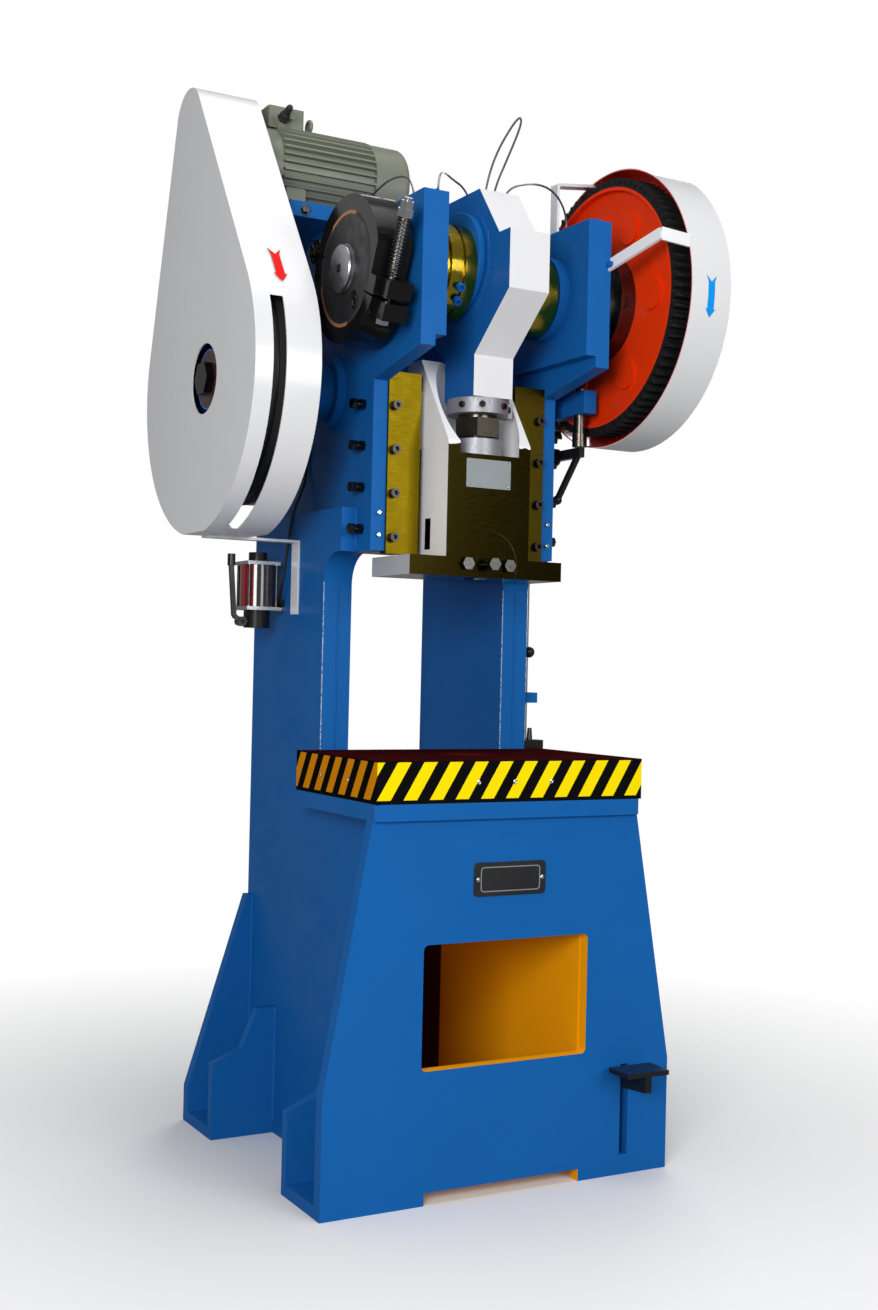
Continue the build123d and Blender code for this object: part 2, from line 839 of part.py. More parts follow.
def guides():
    plate = gib_plate()
    pieces["gib_plates"] = Compound(children=[on_other_side(plate), plate])
    rail = guide_rail()
    pieces["guide_rails"] = Compound(children=[on_other_side(rail), rail])
    screws = []
    adjusters = []
    for height in gib_screw_heights:
        screw = gib_screw(cheek_inner - gib_screw_inset, height)
        screws += [on_other_side(screw), screw]
    for height in adjuster_heights:
        bolt = adjuster(height)
        adjusters += [on_other_side(bolt), bolt]
    pieces["gib_screws"] = Compound(children=screws)
    pieces["gib_adjusters"] = Compound(children=adjusters)


# Ram with its tool clamp, and the pitman with its adjusting ball screw

def ram():
    body = block((-ram_half_width, ram_half_width), (ram_front, ram_back), (ram_plate_top, ram_top))
    body += block((-ram_plate_half_width, ram_plate_half_width),
                  (ram_front, ram_front + ram_plate_depth), (ram_low, ram_plate_top))
    flange_front = gib_back + slide_clearance
    body += block((-flange_outer, flange_outer), (flange_front, flange_front + flange_depth),
                  (ram_low + ram_flange_low, ram_low + ram_flange_high))
    slope_low = ram_plate_top + ram_slope_low
    slope_back = ram_front + ram_slope_run
    slope = [(ram_front - cut_over, slope_low), (ram_front, slope_low), (slope_back, ram_top),
             (slope_back, ram_top + cut_over), (ram_front - cut_over, ram_top + cut_over)]
    body -= x_plate(slope, -ram_half_width - cut_over, ram_half_width + cut_over)
    body -= z_rod(pocket_floor, ram_top + cut_over, 0, crank_y, ram_pocket_r)
    body -= z_rod(ball_z, pocket_floor + cut_over, 0, crank_y, ball_r + seat_clearance)
    body -= Pos(0, crank_y, ball_z) * Sphere(ball_r + seat_clearance)
    slot_y = crank_y + knockout_offset
    body -= block((-ram_half_width - cut_over, ram_half_width + cut_over),
                  (slot_y - knockout_width / 2, slot_y + knockout_width / 2),
                  (ram_plate_top + knockout_low, ram_plate_top + knockout_high))
    body -= z_rod(ram_low - cut_over, ram_low + tool_bore_depth, 0, crank_y, tool_bore_r)
    clamp_z = ram_low + tool_clamp_rise
    body -= y_rod(ram_front - cut_over, ram_front + tool_clamp_depth, 0, clamp_z,
                  tool_clamp_r + seat_clearance)
    for x in (-tool_bolt_spacing, tool_bolt_spacing):
        body -= y_rod(ram_front, ram_front + tool_clamp_depth + tool_bolt_reach, x, clamp_z,
                      tool_bolt_r + seat_clearance)
    return body


def tool_clamp():
    clamp_z = ram_low + tool_clamp_rise
    clamp = y_rod(ram_front, ram_front + tool_clamp_depth - seat_clearance, 0, clamp_z, tool_clamp_r)
    clamp -= block((-tool_clamp_r, tool_clamp_r), (ram_front - cut_over, crank_y),
                   (ram_low - tool_clamp_r, ram_low))
    clamp -= z_rod(ram_low - cut_over, ram_low + tool_bore_depth, 0, crank_y, tool_bore_r)
    for x in (-tool_bolt_spacing, 0, tool_bolt_spacing):
        clamp -= y_rod(ram_front - cut_over, crank_y, x, clamp_z, tool_bolt_r + seat_clearance)
    return clamp


def tool_bolts():
    clamp_z = ram_low + tool_clamp_rise
    bolts = []
    for x in (-tool_bolt_spacing, 0, tool_bolt_spacing):
        head_front = ram_front - tool_bolt_head_thick
        shank_back = ram_front + tool_clamp_depth + tool_bolt_reach
        if x == 0:
            head_front = ram_front - tool_bolt_reach
            shank_back = ram_front + tool_clamp_depth - tool_bore_r / 2
        bolt = y_rod(head_front, shank_back, x, clamp_z, tool_bolt_r)
        bolt += y_hex(head_front, head_front + tool_bolt_head_thick, x, clamp_z, tool_bolt_head_r)
        bolts.append(bolt)
    return Compound(children=bolts)


def pitman():
    front = crank_y - pitman_body_half
    back = crank_y + pitman_body_half
    neck_front = crank_y - pitman_neck_half
    neck_back = crank_y + pitman_neck_half
    low_z = pin_z - pitman_body_drop
    neck_z = pin_z - pitman_neck_drop
    outline = [(front, split_z), (front, low_z), (neck_front, neck_z), (neck_front, pitman_low),
               (neck_back, pitman_low), (neck_back, neck_z), (back, low_z), (back, split_z)]
    body = x_plate(outline, -pitman_half, pitman_half)
    boss = x_rod(-boss_half, boss_half, crank_y, pin_z, pitman_boss_r)
    below_split = block((-pitman_thick, pitman_thick), (front, back), (pitman_low, split_z))
    body += boss & below_split
    body -= x_rod(-pitman_thick, pitman_thick, crank_y, pin_z, big_end_r)
    return body - z_rod(pitman_low - cut_over, pitman_low + screw_in_pitman + seat_clearance, 0, crank_y,
                        screw_r + run_clearance)


def pitman_cap():
    foot_half = pitman_cap_foot_half
    top_half = pitman_cap_top_half
    top_z = split_z + pitman_cap_rise
    outline = [(crank_y - foot_half, split_z), (crank_y + foot_half, split_z), (crank_y + top_half, top_z),
               (crank_y - top_half, top_z)]
    cap = x_plate(outline, -pitman_half, pitman_half)
    boss = x_rod(-boss_half, boss_half, crank_y, pin_z, pitman_boss_r)
    above_split = block((-pitman_thick, pitman_thick), (crank_y - foot_half, crank_y + foot_half),
                        (split_z, top_z))
    cap += boss & above_split
    return cap - x_rod(-pitman_thick, pitman_thick, crank_y, pin_z, big_end_r)


def ball_screw():
    screw = z_rod(hex_low, pitman_low + screw_in_pitman, 0, crank_y, screw_r)
    screw += z_hex(hex_low, hex_high, 0, crank_y, screw_hex_r)
    screw += z_rod(ball_z, hex_low, 0, crank_y, screw_neck_r)
    return screw + Pos(0, crank_y, ball_z) * Sphere(ball_r)


def clamp_ring():
    low = pitman_low - clamp_ring_thick
    ring = z_rod(low, pitman_low, 0, crank_y, clamp_ring_r)
    ear_x = clamp_ring_r + clamp_ear_reach
    ring += block((0, ear_x), (crank_y - clamp_ear_reach, crank_y + clamp_ear_reach), (low, pitman_low))
    ring -= z_rod(low - cut_over, pitman_low + cut_over, 0, crank_y, screw_r + run_clearance)
    return ring - block((0, ear_x + cut_over), (crank_y - clamp_ring_slot / 2, crank_y + clamp_ring_slot / 2),
                        (low - cut_over, pitman_low + cut_over))


def ball_cap():
    cap = z_rod(pocket_floor, ball_cap_top, 0, crank_y, ball_cap_r)
    cap -= z_rod(pocket_floor - cut_over, ball_cap_top + cut_over, 0, crank_y, screw_neck_r + seat_clearance)
    return cap - Pos(0, crank_y, ball_z) * Sphere(ball_r + seat_clearance)


def slide():
    pieces["ram"] = ram()
    pieces["tool_clamp"] = tool_clamp()
    pieces["tool_bolts"] = tool_bolts()
    pieces["pitman"] = pitman()
    pieces["pitman_cap"] = pitman_cap()
    pieces["ball_screw"] = ball_screw()
    pieces["clamp_ring"] = clamp_ring()
    pieces["ball_cap"] = ball_cap()


# Crankshaft, stroke sleeve, bull gear with clutch hub, and band brake

def crankshaft():
    pin_left = sleeve_left
    collar_left = pitman_half + crank_collar_gap
    collar_right = collar_left + crank_collar_thick
    cap_left = gear_hub_right + seat_clearance
    shaft = x_rod(brake_left - brake_shaft_over, brake_right, crank_y, crank_z, brake_seat_r)
    shaft += x_rod(brake_right, -crank_web_outer, crank_y, crank_z, journal_r)
    shaft += x_rod(-crank_web_outer, pin_left, crank_y, sleeve_z, sleeve_groove_r)
    shaft += x_rod(pin_left, collar_left, crank_y, pin_z, crank_pin_r)
    shaft += x_rod(collar_left, collar_right, crank_y, pin_z, crank_collar_r)
    shaft += x_rod(collar_right, crank_web_outer, crank_y, crank_z, crank_web_r)
    shaft += x_rod(crank_web_outer, cap_left, crank_y, crank_z, journal_r)
    return shaft + x_rod(cap_left, cap_left + crank_end_cap_thick, crank_y, crank_z, crank_end_cap_r)


def stroke_sleeve():
    middle = (sleeve_left + sleeve_right) / 2
    sleeve = x_rod(sleeve_left, sleeve_right, crank_y, sleeve_z, sleeve_r)
    sleeve -= x_rod(sleeve_left - cut_over, sleeve_right + cut_over, crank_y, pin_z,
                    crank_pin_r + run_clearance)
    return sleeve - x_ring(middle - sleeve_groove, middle + sleeve_groove, crank_y, sleeve_z,
                           sleeve_r + cut_over, sleeve_groove_r)


def bull_gear():
    rim_in = gear_pitch_r - gear_module * dedendum_share - gear_rim_thick
    place = Pos(crank_y, crank_z)
    rim = place * (gear_face(gear_teeth, pinion_angle_deg) - Circle(rim_in))
    gear = x_slab(rim, gear_left, gear_right)
    gear += x_rod(gear_web_left, gear_web_right, crank_y, crank_z, rim_in + gear_rim_thick / 2)
    gear += x_rod(gear_web_right, gear_hub_right, crank_y, crank_z, gear_hub_r)
    for index in range(gear_pad_count):
        angle = 2 * math.pi * index / gear_pad_count
        pad_y = crank_y + gear_pad_circle * math.cos(angle)
        pad_z = crank_z + gear_pad_circle * math.sin(angle)
        gear += x_rod(gear_web_left - gear_pad_rise, gear_web_right + gear_pad_rise, pad_y, pad_z, gear_pad_r)
    return gear - x_rod(gear_left - cut_over, gear_hub_right + cut_over, crank_y, crank_z,
                        journal_r + run_clearance)


def clutch_hub():
    flange_left = gear_web_left - clutch_flange_thick
    hub = x_rod(clutch_left, flange_left, crank_y, crank_z, clutch_ring_r)
    hub += x_rod(flange_left, gear_web_left, crank_y, crank_z, clutch_flange_r)
    return hub - x_rod(clutch_left - cut_over, gear_web_left + cut_over, crank_y, crank_z,
                       journal_r + run_clearance)


def brake_place(shape):
    """Turns a brake piece drawn about the origin to its tilt and sets it on the crank axis."""
    return Pos(0, crank_y, crank_z) * Rot(brake_tilt_deg, 0, 0) * shape


def half_ring(outer, inner, side):
    """Half of a ring about the crank axis; its split lies lower on the side of the lugs."""
    ring = x_ring(brake_left, brake_right, 0, 0, outer, inner)
    reach = outer + cut_over
    hinge_split = side * brake_split_gap / 2
    lug_split = hinge_split - brake_lug_drop
    far = side * reach
    hinge_half = block((brake_left, brake_right), (0, reach), (min(hinge_split, far), max(hinge_split, far)))
    lug_half = block((brake_left, brake_right), (-reach, 0), (min(lug_split, far), max(lug_split, far)))
    return (ring & hinge_half) + (ring & lug_half)


def brake_arm(side, own_ears, other_ears):
    """Half of the brake band holder; side is 1 for the upper arm and -1 for the lower one."""
    arm = half_ring(arm_out, arm_in, side)
    lug_front = -arm_out - brake_lug_reach
    lug_span = (upper_lug_low, upper_lug_top) if side > 0 else (lower_lug_low, lower_lug_top)
    lug = block((brake_middle - brake_lug_width / 2, brake_middle + brake_lug_width / 2),
                (lug_front, -arm_in / 2), lug_span)
    lug -= x_rod(brake_left - cut_over, brake_right + cut_over, 0, 0, arm_in)
    arm += lug
    flat_span = (upper_lug_top, arm_out + cut_over) if side > 0 else (-arm_out - cut_over, lower_lug_low)
    arm -= block((brake_left - cut_over, brake_right + cut_over),
                 (lug_front - cut_over, brake_bolt_y + spring_r + brake_flat_gap), flat_span)
    for x_low, x_high in other_ears:
        arm -= x_rod(x_low - brake_ear_gap, x_high + brake_ear_gap, brake_pin_circle, 0,
                     brake_ear_r + brake_ear_gap)
    for x_low, x_high in own_ears:
        arm += x_rod(x_low, x_high, brake_pin_circle, 0, brake_ear_r)
    arm -= x_rod(brake_left - cut_over, brake_right + cut_over, brake_pin_circle, 0,
                 brake_pin_r + run_clearance)
    hole_r = brake_bolt_hole_r if side > 0 else brake_bolt_r + run_clearance
    return arm - z_rod(lower_lug_low - cut_over, upper_lug_top + cut_over, brake_middle, brake_bolt_y, hole_r)


def brake_bolt():
    head_low = lower_lug_low - brake_nut_thick
    spring_top = upper_lug_top + spring_length
    nut_top = spring_top + brake_nut_thick
    lock_top = nut_top + brake_nut_thick
    bolt = z_rod(head_low, lock_top + brake_bolt_over, brake_middle, brake_bolt_y, brake_bolt_r)
    bolt += z_hex(head_low, lower_lug_low, brake_middle, brake_bolt_y, brake_nut_r)
    bolt += z_hex(spring_top, nut_top, brake_middle, brake_bolt_y, brake_seat_nut_r)
    return bolt + z_hex(nut_top, lock_top, brake_middle, brake_bolt_y, brake_nut_r)


def brake_spring():
    low = upper_lug_top + spring_wire_r
    height = spring_length - spring_wire_r * 2
    coil_r = spring_r - spring_wire_r
    path = Helix(pitch=height / spring_turns, height=height, radius=coil_r)
    section = Plane(origin=path @ 0, z_dir=path % 0) * RegularPolygon(spring_wire_r, 6)
    coil = sweep(section, path=path)
    return Pos(brake_middle, brake_bolt_y, low) * coil


def brake_drum():
    drum = x_ring(brake_left, brake_right, crank_y, crank_z, brake_drum_r, brake_seat_r + run_clearance)
    hole_angle = math.radians(drum_hole_deg)
    hole_y = crank_y + drum_hole_circle * math.cos(hole_angle)
    hole_z = crank_z + drum_hole_circle * math.sin(hole_angle)
    return drum - x_rod(brake_left - cut_over, brake_right + cut_over, hole_y, hole_z, drum_hole_r)


def crank_group():
    pieces["crankshaft"] = crankshaft()
    pieces["stroke_sleeve"] = stroke_sleeve()
    pieces["bull_gear"] = bull_gear()
    pieces["clutch_hub"] = clutch_hub()
    pieces["brake_drum"] = brake_drum()
    tongue_low = brake_middle - brake_ear_width / 2
    tongue = [(tongue_low, tongue_low + brake_ear_width)]
    fork = [(brake_left, tongue_low - brake_ear_gap * 2),
            (tongue_low + brake_ear_width + brake_ear_gap * 2, brake_right)]
    pieces["upper_brake_arm"] = brake_place(brake_arm(1, tongue, fork))
    pieces["lower_brake_arm"] = brake_place(brake_arm(-1, fork, tongue))
    pieces["upper_brake_lining"] = brake_place(half_ring(arm_in, lining_in, 1))
    pieces["lower_brake_lining"] = brake_place(half_ring(arm_in, lining_in, -1))
    pieces["brake_bolt"] = brake_place(brake_bolt())
    pieces["brake_spring"] = brake_place(brake_spring())


# Flywheel on the pinion shaft, its bearings, belts and guards

belt_spots = [(flywheel_left + flywheel_right) / 2 + belt_pitch * (index - (belt_count - 1) / 2)
              for index in range(belt_count)]


def grooved(wheel, y, z, radius):
    """Cuts one square belt groove for each belt into a wheel on an axis along X."""
    depth_r = radius + belt_proud - belt_thick - belt_clearance
    for x in belt_spots:
        half = belt_width / 2 + belt_clearance
        wheel -= x_ring(x - half, x + half, y, z, radius + cut_over, depth_r)
    return wheel


def flywheel():
    middle = (flywheel_left + flywheel_right) / 2
    rim_in = flywheel_r - flywheel_rim_thick
    wheel = x_ring(flywheel_left, flywheel_right, shaft_y, shaft_z, flywheel_r, rim_in)
    wheel += x_rod(middle - flywheel_web_thick / 2, middle + flywheel_web_thick / 2, shaft_y, shaft_z,
                   rim_in + flywheel_rim_thick / 4)
    wheel += x_rod(flywheel_left - flywheel_hub_over, flywheel_right + flywheel_hub_over, shaft_y, shaft_z,
                   flywheel_hub_r)
    hole_circle = (rim_in + flywheel_hub_r) / 2
    for index in range(flywheel_hole_count):
        angle = 2 * math.pi * index / flywheel_hole_count
        wheel -= x_rod(flywheel_left, flywheel_right, shaft_y + hole_circle * math.cos(angle),
                       shaft_z + hole_circle * math.sin(angle), flywheel_hole_r)
    wheel -= x_rod(flywheel_left - cut_over, flywheel_right + cut_over, shaft_y, shaft_z,
                   drive_shaft_r + run_clearance)
    return grooved(wheel, shaft_y, shaft_z, flywheel_r)


def pinion_shaft():
    hub_left = flywheel_left - flywheel_hub_over
    shaft = x_rod(hub_left, gear_right + pinion_over, shaft_y, shaft_z, drive_shaft_r)
    first_tooth = 180 + pinion_angle_deg + 180 / pinion_teeth
    shaft += x_slab(Pos(shaft_y, shaft_z) * gear_face(pinion_teeth, first_tooth), gear_left,
                    gear_right + pinion_over)
    return shaft + x_hex(hub_left - flywheel_nut_thick, hub_left, shaft_y, shaft_z, flywheel_nut_r)


def shaft_bearing():
    flange_end = cheek_outer + bearing_flange_thick
    housing = x_rod(cheek_inner, cheek_outer, shaft_y, shaft_z, bearing_spigot_r)
    housing += x_rod(cheek_outer, flange_end, shaft_y, shaft_z, bearing_flange_r)
    housing += x_rod(flange_end, flange_end + bearing_nose_thick, shaft_y, shaft_z, bearing_nose_r)
    return housing - x_rod(cheek_inner - cut_over, flange_end + bearing_nose_thick + cut_over, shaft_y,
                           shaft_z, drive_shaft_r + run_clearance)


def v_belts():
    belts = []
    low_out = flywheel_r + belt_proud
    top_out = motor_pulley_r + belt_proud
    face = teardrop(shaft_y, shaft_z, low_out, motor_y, motor_z, top_out)
    face -= teardrop(shaft_y, shaft_z, low_out - belt_thick, motor_y, motor_z, top_out - belt_thick)
    for x in belt_spots:
        belts.append(x_slab(face, x - belt_width / 2, x + belt_width / 2))
    return Compound(children=belts)


def guard_outline(inset):
    face = teardrop(shaft_y + guard_round_shift, shaft_z, guard_round_low - inset,
                    motor_y, motor_z + guard_above_motor, guard_round_top - inset)
    flat = shaft_z - guard_flat_drop + inset
    below = Pos(shaft_y, flat - guard_round_low) * Rectangle(guard_round_low * 4, guard_round_low * 2)
    return face - below


def belt_guard():
    guard = x_slab(guard_outline(0), guard_left, guard_right)
    guard -= x_slab(guard_outline(guard_sheet), guard_left + guard_sheet, guard_right + cut_over)
    guard -= x_rod(guard_left - cut_over, guard_left + cut_over, shaft_y, shaft_z, guard_hole_r)
    slot_left = guard_left + guard_slot_inset
    slot = block((slot_left, slot_left + guard_slot_width),
                 (shaft_y - guard_round_low * 2, shaft_y - guard_slot_back),
                 (shaft_z - guard_slot_drop, shaft_z + guard_slot_rise))
    return guard - slot


def gear_guard():
    outer = gear_guard_in + gear_guard_sheet
    guard = x_rod(gear_guard_left, gear_guard_right, crank_y, crank_z, outer)
    guard -= x_rod(gear_guard_left - cut_over, gear_guard_right - gear_guard_sheet, crank_y, crank_z,
                   gear_guard_in)
    guard -= x_rod(gear_guard_left, gear_guard_right + cut_over, crank_y, crank_z, gear_guard_hole_r)
    return guard - x_rod(gear_guard_left - cut_over, gear_guard_right + cut_over, shaft_y, shaft_z,
                         pinion_pitch_r + gear_module + gear_guard_pinion_gap)


def rim_point(angle_deg, x):
    """Point in the sheet of the gear guard's rim, at an angle from the +Y direction."""
    angle = math.radians(angle_deg)
    radius = gear_guard_in + gear_guard_sheet / 2
    return (x, crank_y + radius * math.cos(angle), crank_z + radius * math.sin(angle))


def guard_brackets():
    back_y = shaft_y + guard_round_shift + guard_bracket_back
    half = guard_bracket_width / 2
    seat_z = shaft_z - guard_flat_drop
    y_span = (back_y - half, back_y + half)
    angle = block((-side_outer - guard_bracket_thick, -side_outer), y_span,
                  (seat_z - guard_bracket_drop, seat_z))
    angle += block((-side_outer - guard_bracket_reach, -side_outer), y_span,
                   (seat_z - guard_bracket_thick, seat_z))
    rim_x = gear_guard_left + guard_bar_thick / 2
    front_start = (cheek_outer - guard_bar_thick, head_front + front_bar_back, crank_z + front_bar_rise)
    front_bend = (cheek_outer + front_bar_out, front_start[1] - front_bar_lean,
                  front_start[2] + front_bar_lift)
    front_bar = flat_bar(front_start, front_bend, guard_bar_width, guard_bar_thick, (0, 1, 1))
    front_bar += flat_bar(front_bend, rim_point(front_bar_end_deg, rim_x), guard_bar_width,
                          guard_bar_thick, (0, 0, 1))
    rear_x = cheek_outer - rear_bar_inset
    rear_start = (rear_x, crank_y + rear_bar_back, head_top)
    rear_bend = (rear_x, crank_y + rear_bar_back, head_top + rear_bar_rise)
    rear_bar = flat_bar(rear_start, rear_bend, guard_bar_width, guard_bar_thick, (0, 1, 0))
    rear_bar += flat_bar(rear_bend, rim_point(rear_bar_end_deg, rim_x), guard_bar_width, guard_bar_thick,
                         (0, 1, 0))
    inside = pieces["gear_guard"] + pieces["right_cheek"]
    return Compound(children=[angle, front_bar - inside, rear_bar - inside])


def drive():
    pieces["pinion_shaft"] = pinion_shaft()
    pieces["flywheel"] = flywheel()
    bearing = shaft_bearing()
    pieces["shaft_bearings"] = Compound(children=[on_other_side(bearing), bearing])
    pieces["v_belts"] = v_belts()
    pieces["belt_guard"] = belt_guard()
    pieces["gear_guard"] = gear_guard()
    pieces["guard_brackets"] = guard_brackets()


# Motor on its plate

def motor_body():
    body = x_rod(motor_body_left, motor_cowl_left, motor_y, motor_z, motor_body_r)
    fin_half = math.pi * motor_fin_r / motor_fin_count / 4
    for index in range(motor_fin_count):
        fin = block((motor_body_left, motor_cowl_left), (-fin_half, fin_half), (0, motor_fin_r))
        fin -= x_rod(motor_body_left, motor_cowl_left, 0, 0, motor_body_r / 2)
        body += Pos(0, motor_y, motor_z) * Rot(360 * index / motor_fin_count, 0, 0) * fin
    body += x_rod(motor_shield_left, motor_body_left, motor_y, motor_z, motor_shield_r)
    foot_half = motor_foot_width / 2
    for x in (motor_body_left + motor_foot_inset, motor_cowl_left - motor_foot_inset - motor_foot_length):
        body += block((x, x + motor_foot_length), (motor_y - foot_half, motor_y + foot_half),
                      (motor_plate_top, motor_plate_top + motor_foot_high))
    box_left = motor_body_left - motor_box_inset + motor_foot_inset
    body -= block((box_left, box_left + terminal_box_length),
                  (motor_y - terminal_box_width / 2, motor_y + terminal_box_width / 2),
                  (motor_z + motor_box_seat, motor_z + motor_fin_r + cut_over))
    eye_x = motor_cowl_left - eye_bolt_inset
    ring_z = motor_z + motor_fin_r + eye_bolt_r
    ring_r = eye_bolt_r - eye_bolt_wire_r
    body += z_rod(motor_z + motor_body_r, ring_z - ring_r, eye_x, motor_y, eye_bolt_wire_r)
    body += Pos(eye_x, motor_y, ring_z) * Rot(0, 90, 0) * Torus(ring_r, eye_bolt_wire_r)
    return body - x_rod(motor_shield_left - cut_over, motor_shield_left + motor_shaft_depth + seat_clearance,
                        motor_y, motor_z, motor_shaft_r + run_clearance)


def fan_cowl():
    cowl = x_rod(motor_cowl_left, motor_right_end, motor_y, motor_z, fan_cowl_r)
    rim = cowl.edges().filter_by(GeomType.CIRCLE).sort_by(Axis.X)[-1]
    cowl = fillet(rim, fan_cowl_round)
    for index in range(fan_slot_count):
        slot = block((motor_right_end - fan_slot_width, motor_right_end + fan_slot_width),
                     (-fan_slot_width / 2, fan_slot_width / 2), (fan_slot_inner, fan_slot_outer))
        cowl -= Pos(0, motor_y, motor_z) * Rot(360 * index / fan_slot_count, 0, 0) * slot
    return cowl


def terminal_box():
    left = motor_body_left - motor_box_inset + motor_foot_inset
    right = left + terminal_box_length
    low = motor_z + motor_box_seat
    half = terminal_box_width / 2
    box = block((left, right), (motor_y - half, motor_y + half), (low, low + terminal_box_high))
    box = fillet(box.edges().filter_by(Axis.Z), terminal_lid_thick)
    gland_z = low + terminal_box_high / 2
    gland_x = (left + right) / 2
    return box + y_rod(motor_y - half - terminal_gland_length, motor_y - half, gland_x, gland_z,
                       terminal_gland_r)


def motor_pulley():
    pulley = x_rod(flywheel_left, flywheel_right, motor_y, motor_z, motor_pulley_r)
    pulley = grooved(pulley, motor_y, motor_z, motor_pulley_r)
    return pulley + x_rod(flywheel_right, motor_shield_left + motor_shaft_depth, motor_y, motor_z,
                          motor_shaft_r)


def motor():
    pieces["motor_body"] = motor_body()
    pieces["fan_cowl"] = fan_cowl()
    pieces["terminal_box"] = terminal_box()
    pieces["motor_pulley"] = motor_pulley()
    y_span = (motor_plate_front, motor_plate_back)
    plate = block((motor_plate_left, motor_plate_right), y_span, (motor_plate_low, motor_plate_top))
    for x in (-cheek_outer, cheek_inner):
        plate += block((x, x + cheek_thick), y_span, (head_top, motor_plate_low))
    pieces["motor_plate"] = plate


# Treadle, pull rod and the trip gear that frees the clutch

def fork(x_axis, z_axis, lever_thick, lever_high, up):
    """Fork end of the pull rod round a lever; up is 1 when the rod leaves upwards."""
    inner = lever_thick / 2 + fork_side_gap
    outer = inner + fork_wall
    rod_side = max(x_axis + outer, rod_x + rod_r)
    y_span = (rod_y - fork_depth / 2, rod_y + fork_depth / 2)
    near = z_axis - up * fork_depth / 2
    bridge = z_axis + up * (lever_high / 2 + fork_gap)
    far = bridge + up * fork_bridge
    shape = block((x_axis - outer, x_axis + outer), y_span, (min(near, far), max(near, far)))
    shape += block((x_axis, rod_side), y_span, (min(bridge, far), max(bridge, far)))
    shape -= block((x_axis - inner, x_axis + inner), (y_span[0] - cut_over, y_span[1] + cut_over),
                   (min(near - up * cut_over, bridge), max(near - up * cut_over, bridge)))
    return shape + x_rod(x_axis - outer, x_axis + outer, rod_y, z_axis, fork_pin_r)


def pull_rod():
    low = pedal_rod_z + pedal_lever_high / 2 + fork_gap
    high = trip_lever_z - trip_lever_high / 2 - fork_gap
    rod = z_rod(low, high, rod_x, rod_y, rod_r)
    rod += fork(rod_x, pedal_rod_z, pedal_lever_thick, pedal_lever_high, 1)
    return rod + fork(trip_x, trip_lever_z, trip_lever_thick, trip_lever_high, -1)


def pedal():
    x_span = (rod_x - pedal_lever_thick / 2, rod_x + pedal_lever_thick / 2)
    low = pedal_lever_axis - pedal_lever_high / 2
    high = pedal_lever_axis + pedal_lever_high / 2
    pad_low = pedal_height - pedal_thick
    outline = [(pedal_pivot_y, low), (pedal_pivot_y, high), (pedal_front + pedal_depth, pad_low),
               (pedal_front, pad_low), (pedal_front, low + pedal_lever_rise)]
    lever = x_plate(outline, x_span[0], x_span[1])
    lever += block((rod_x - pedal_width / 2, rod_x + pedal_width / 2),
                   (pedal_front, pedal_front + pedal_depth), (pad_low, pedal_height))
    lever += x_rod(x_span[0], x_span[1], pedal_pivot_y, pedal_lever_axis, lever_boss_r)
    lever -= x_rod(x_span[0] - cut_over, x_span[1] + cut_over, pedal_pivot_y, pedal_lever_axis,
                   pedal_pivot_r + run_clearance)
    return lever - x_rod(x_span[0] - cut_over, x_span[1] + cut_over, rod_y, pedal_rod_z,
                         fork_pin_r + lever_hole_play)


def trip_lever():
    x_span = (trip_x - trip_lever_thick / 2, trip_x + trip_lever_thick / 2)
    half = trip_lever_high / 2
    lever = block(x_span, (trip_y - half, rod_y + half), (trip_lever_z - half, trip_lever_z + half))
    lever += x_rod(x_span[0], x_span[1], trip_pivot_y, trip_lever_z, lever_boss_r)
    tail_start = (trip_x, trip_y, trip_lever_z)
    tail_end = (trip_x, trip_y + trip_tail_run, trip_lever_z - trip_tail_drop)
    tail_thick = trip_tail_half * 2
    lever += flat_bar(tail_start, tail_end, tail_thick, tail_thick, (1, 0, 0))
    lever += Pos(*tail_end) * Sphere(tail_thick)
    lever -= x_rod(x_span[0] - cut_over, x_span[1] + cut_over, trip_pivot_y, trip_lever_z,
                   trip_pivot_r + run_clearance)
    return lever - x_rod(x_span[0] - cut_over, x_span[1] + cut_over, rod_y, trip_lever_z,
                         fork_pin_r + lever_hole_play)


def trip_bracket():
    half = trip_arm_width / 2
    z_span = (trip_hub_low, trip_hub_low + trip_hub_high)
    back = trip_y + trip_arm_back
    arm = block((trip_x - half, trip_x + half), (trip_y - trip_arm_front, back), z_span)
    arm += block((cheek_outer, trip_x - half), (back - trip_arm_root, back), z_span)
    arm -= z_rod(z_span[0] - cut_over, z_span[1] + cut_over, trip_x, trip_y, trip_pin_r + run_clearance)
    guide = block((side_outer, rod_x + rod_guide_over),
                  (rod_y - rod_guide_depth / 2, rod_y + rod_guide_depth / 2),
                  (rod_guide_low, rod_guide_low + rod_guide_thick))
    guide -= z_rod(rod_guide_low - cut_over, rod_guide_low + rod_guide_thick + cut_over, rod_x, rod_y,
                   rod_r + seat_clearance)
    return Compound(children=[arm, guide])


def trip_pin():
    collar_top = trip_collar_low + trip_collar_thick
    pin = z_rod(trip_collar_low, collar_top, trip_x, trip_y, trip_collar_r)
    return pin + z_rod(collar_top, trip_hub_low + trip_hub_high + trip_pin_above, trip_x, trip_y, trip_pin_r)


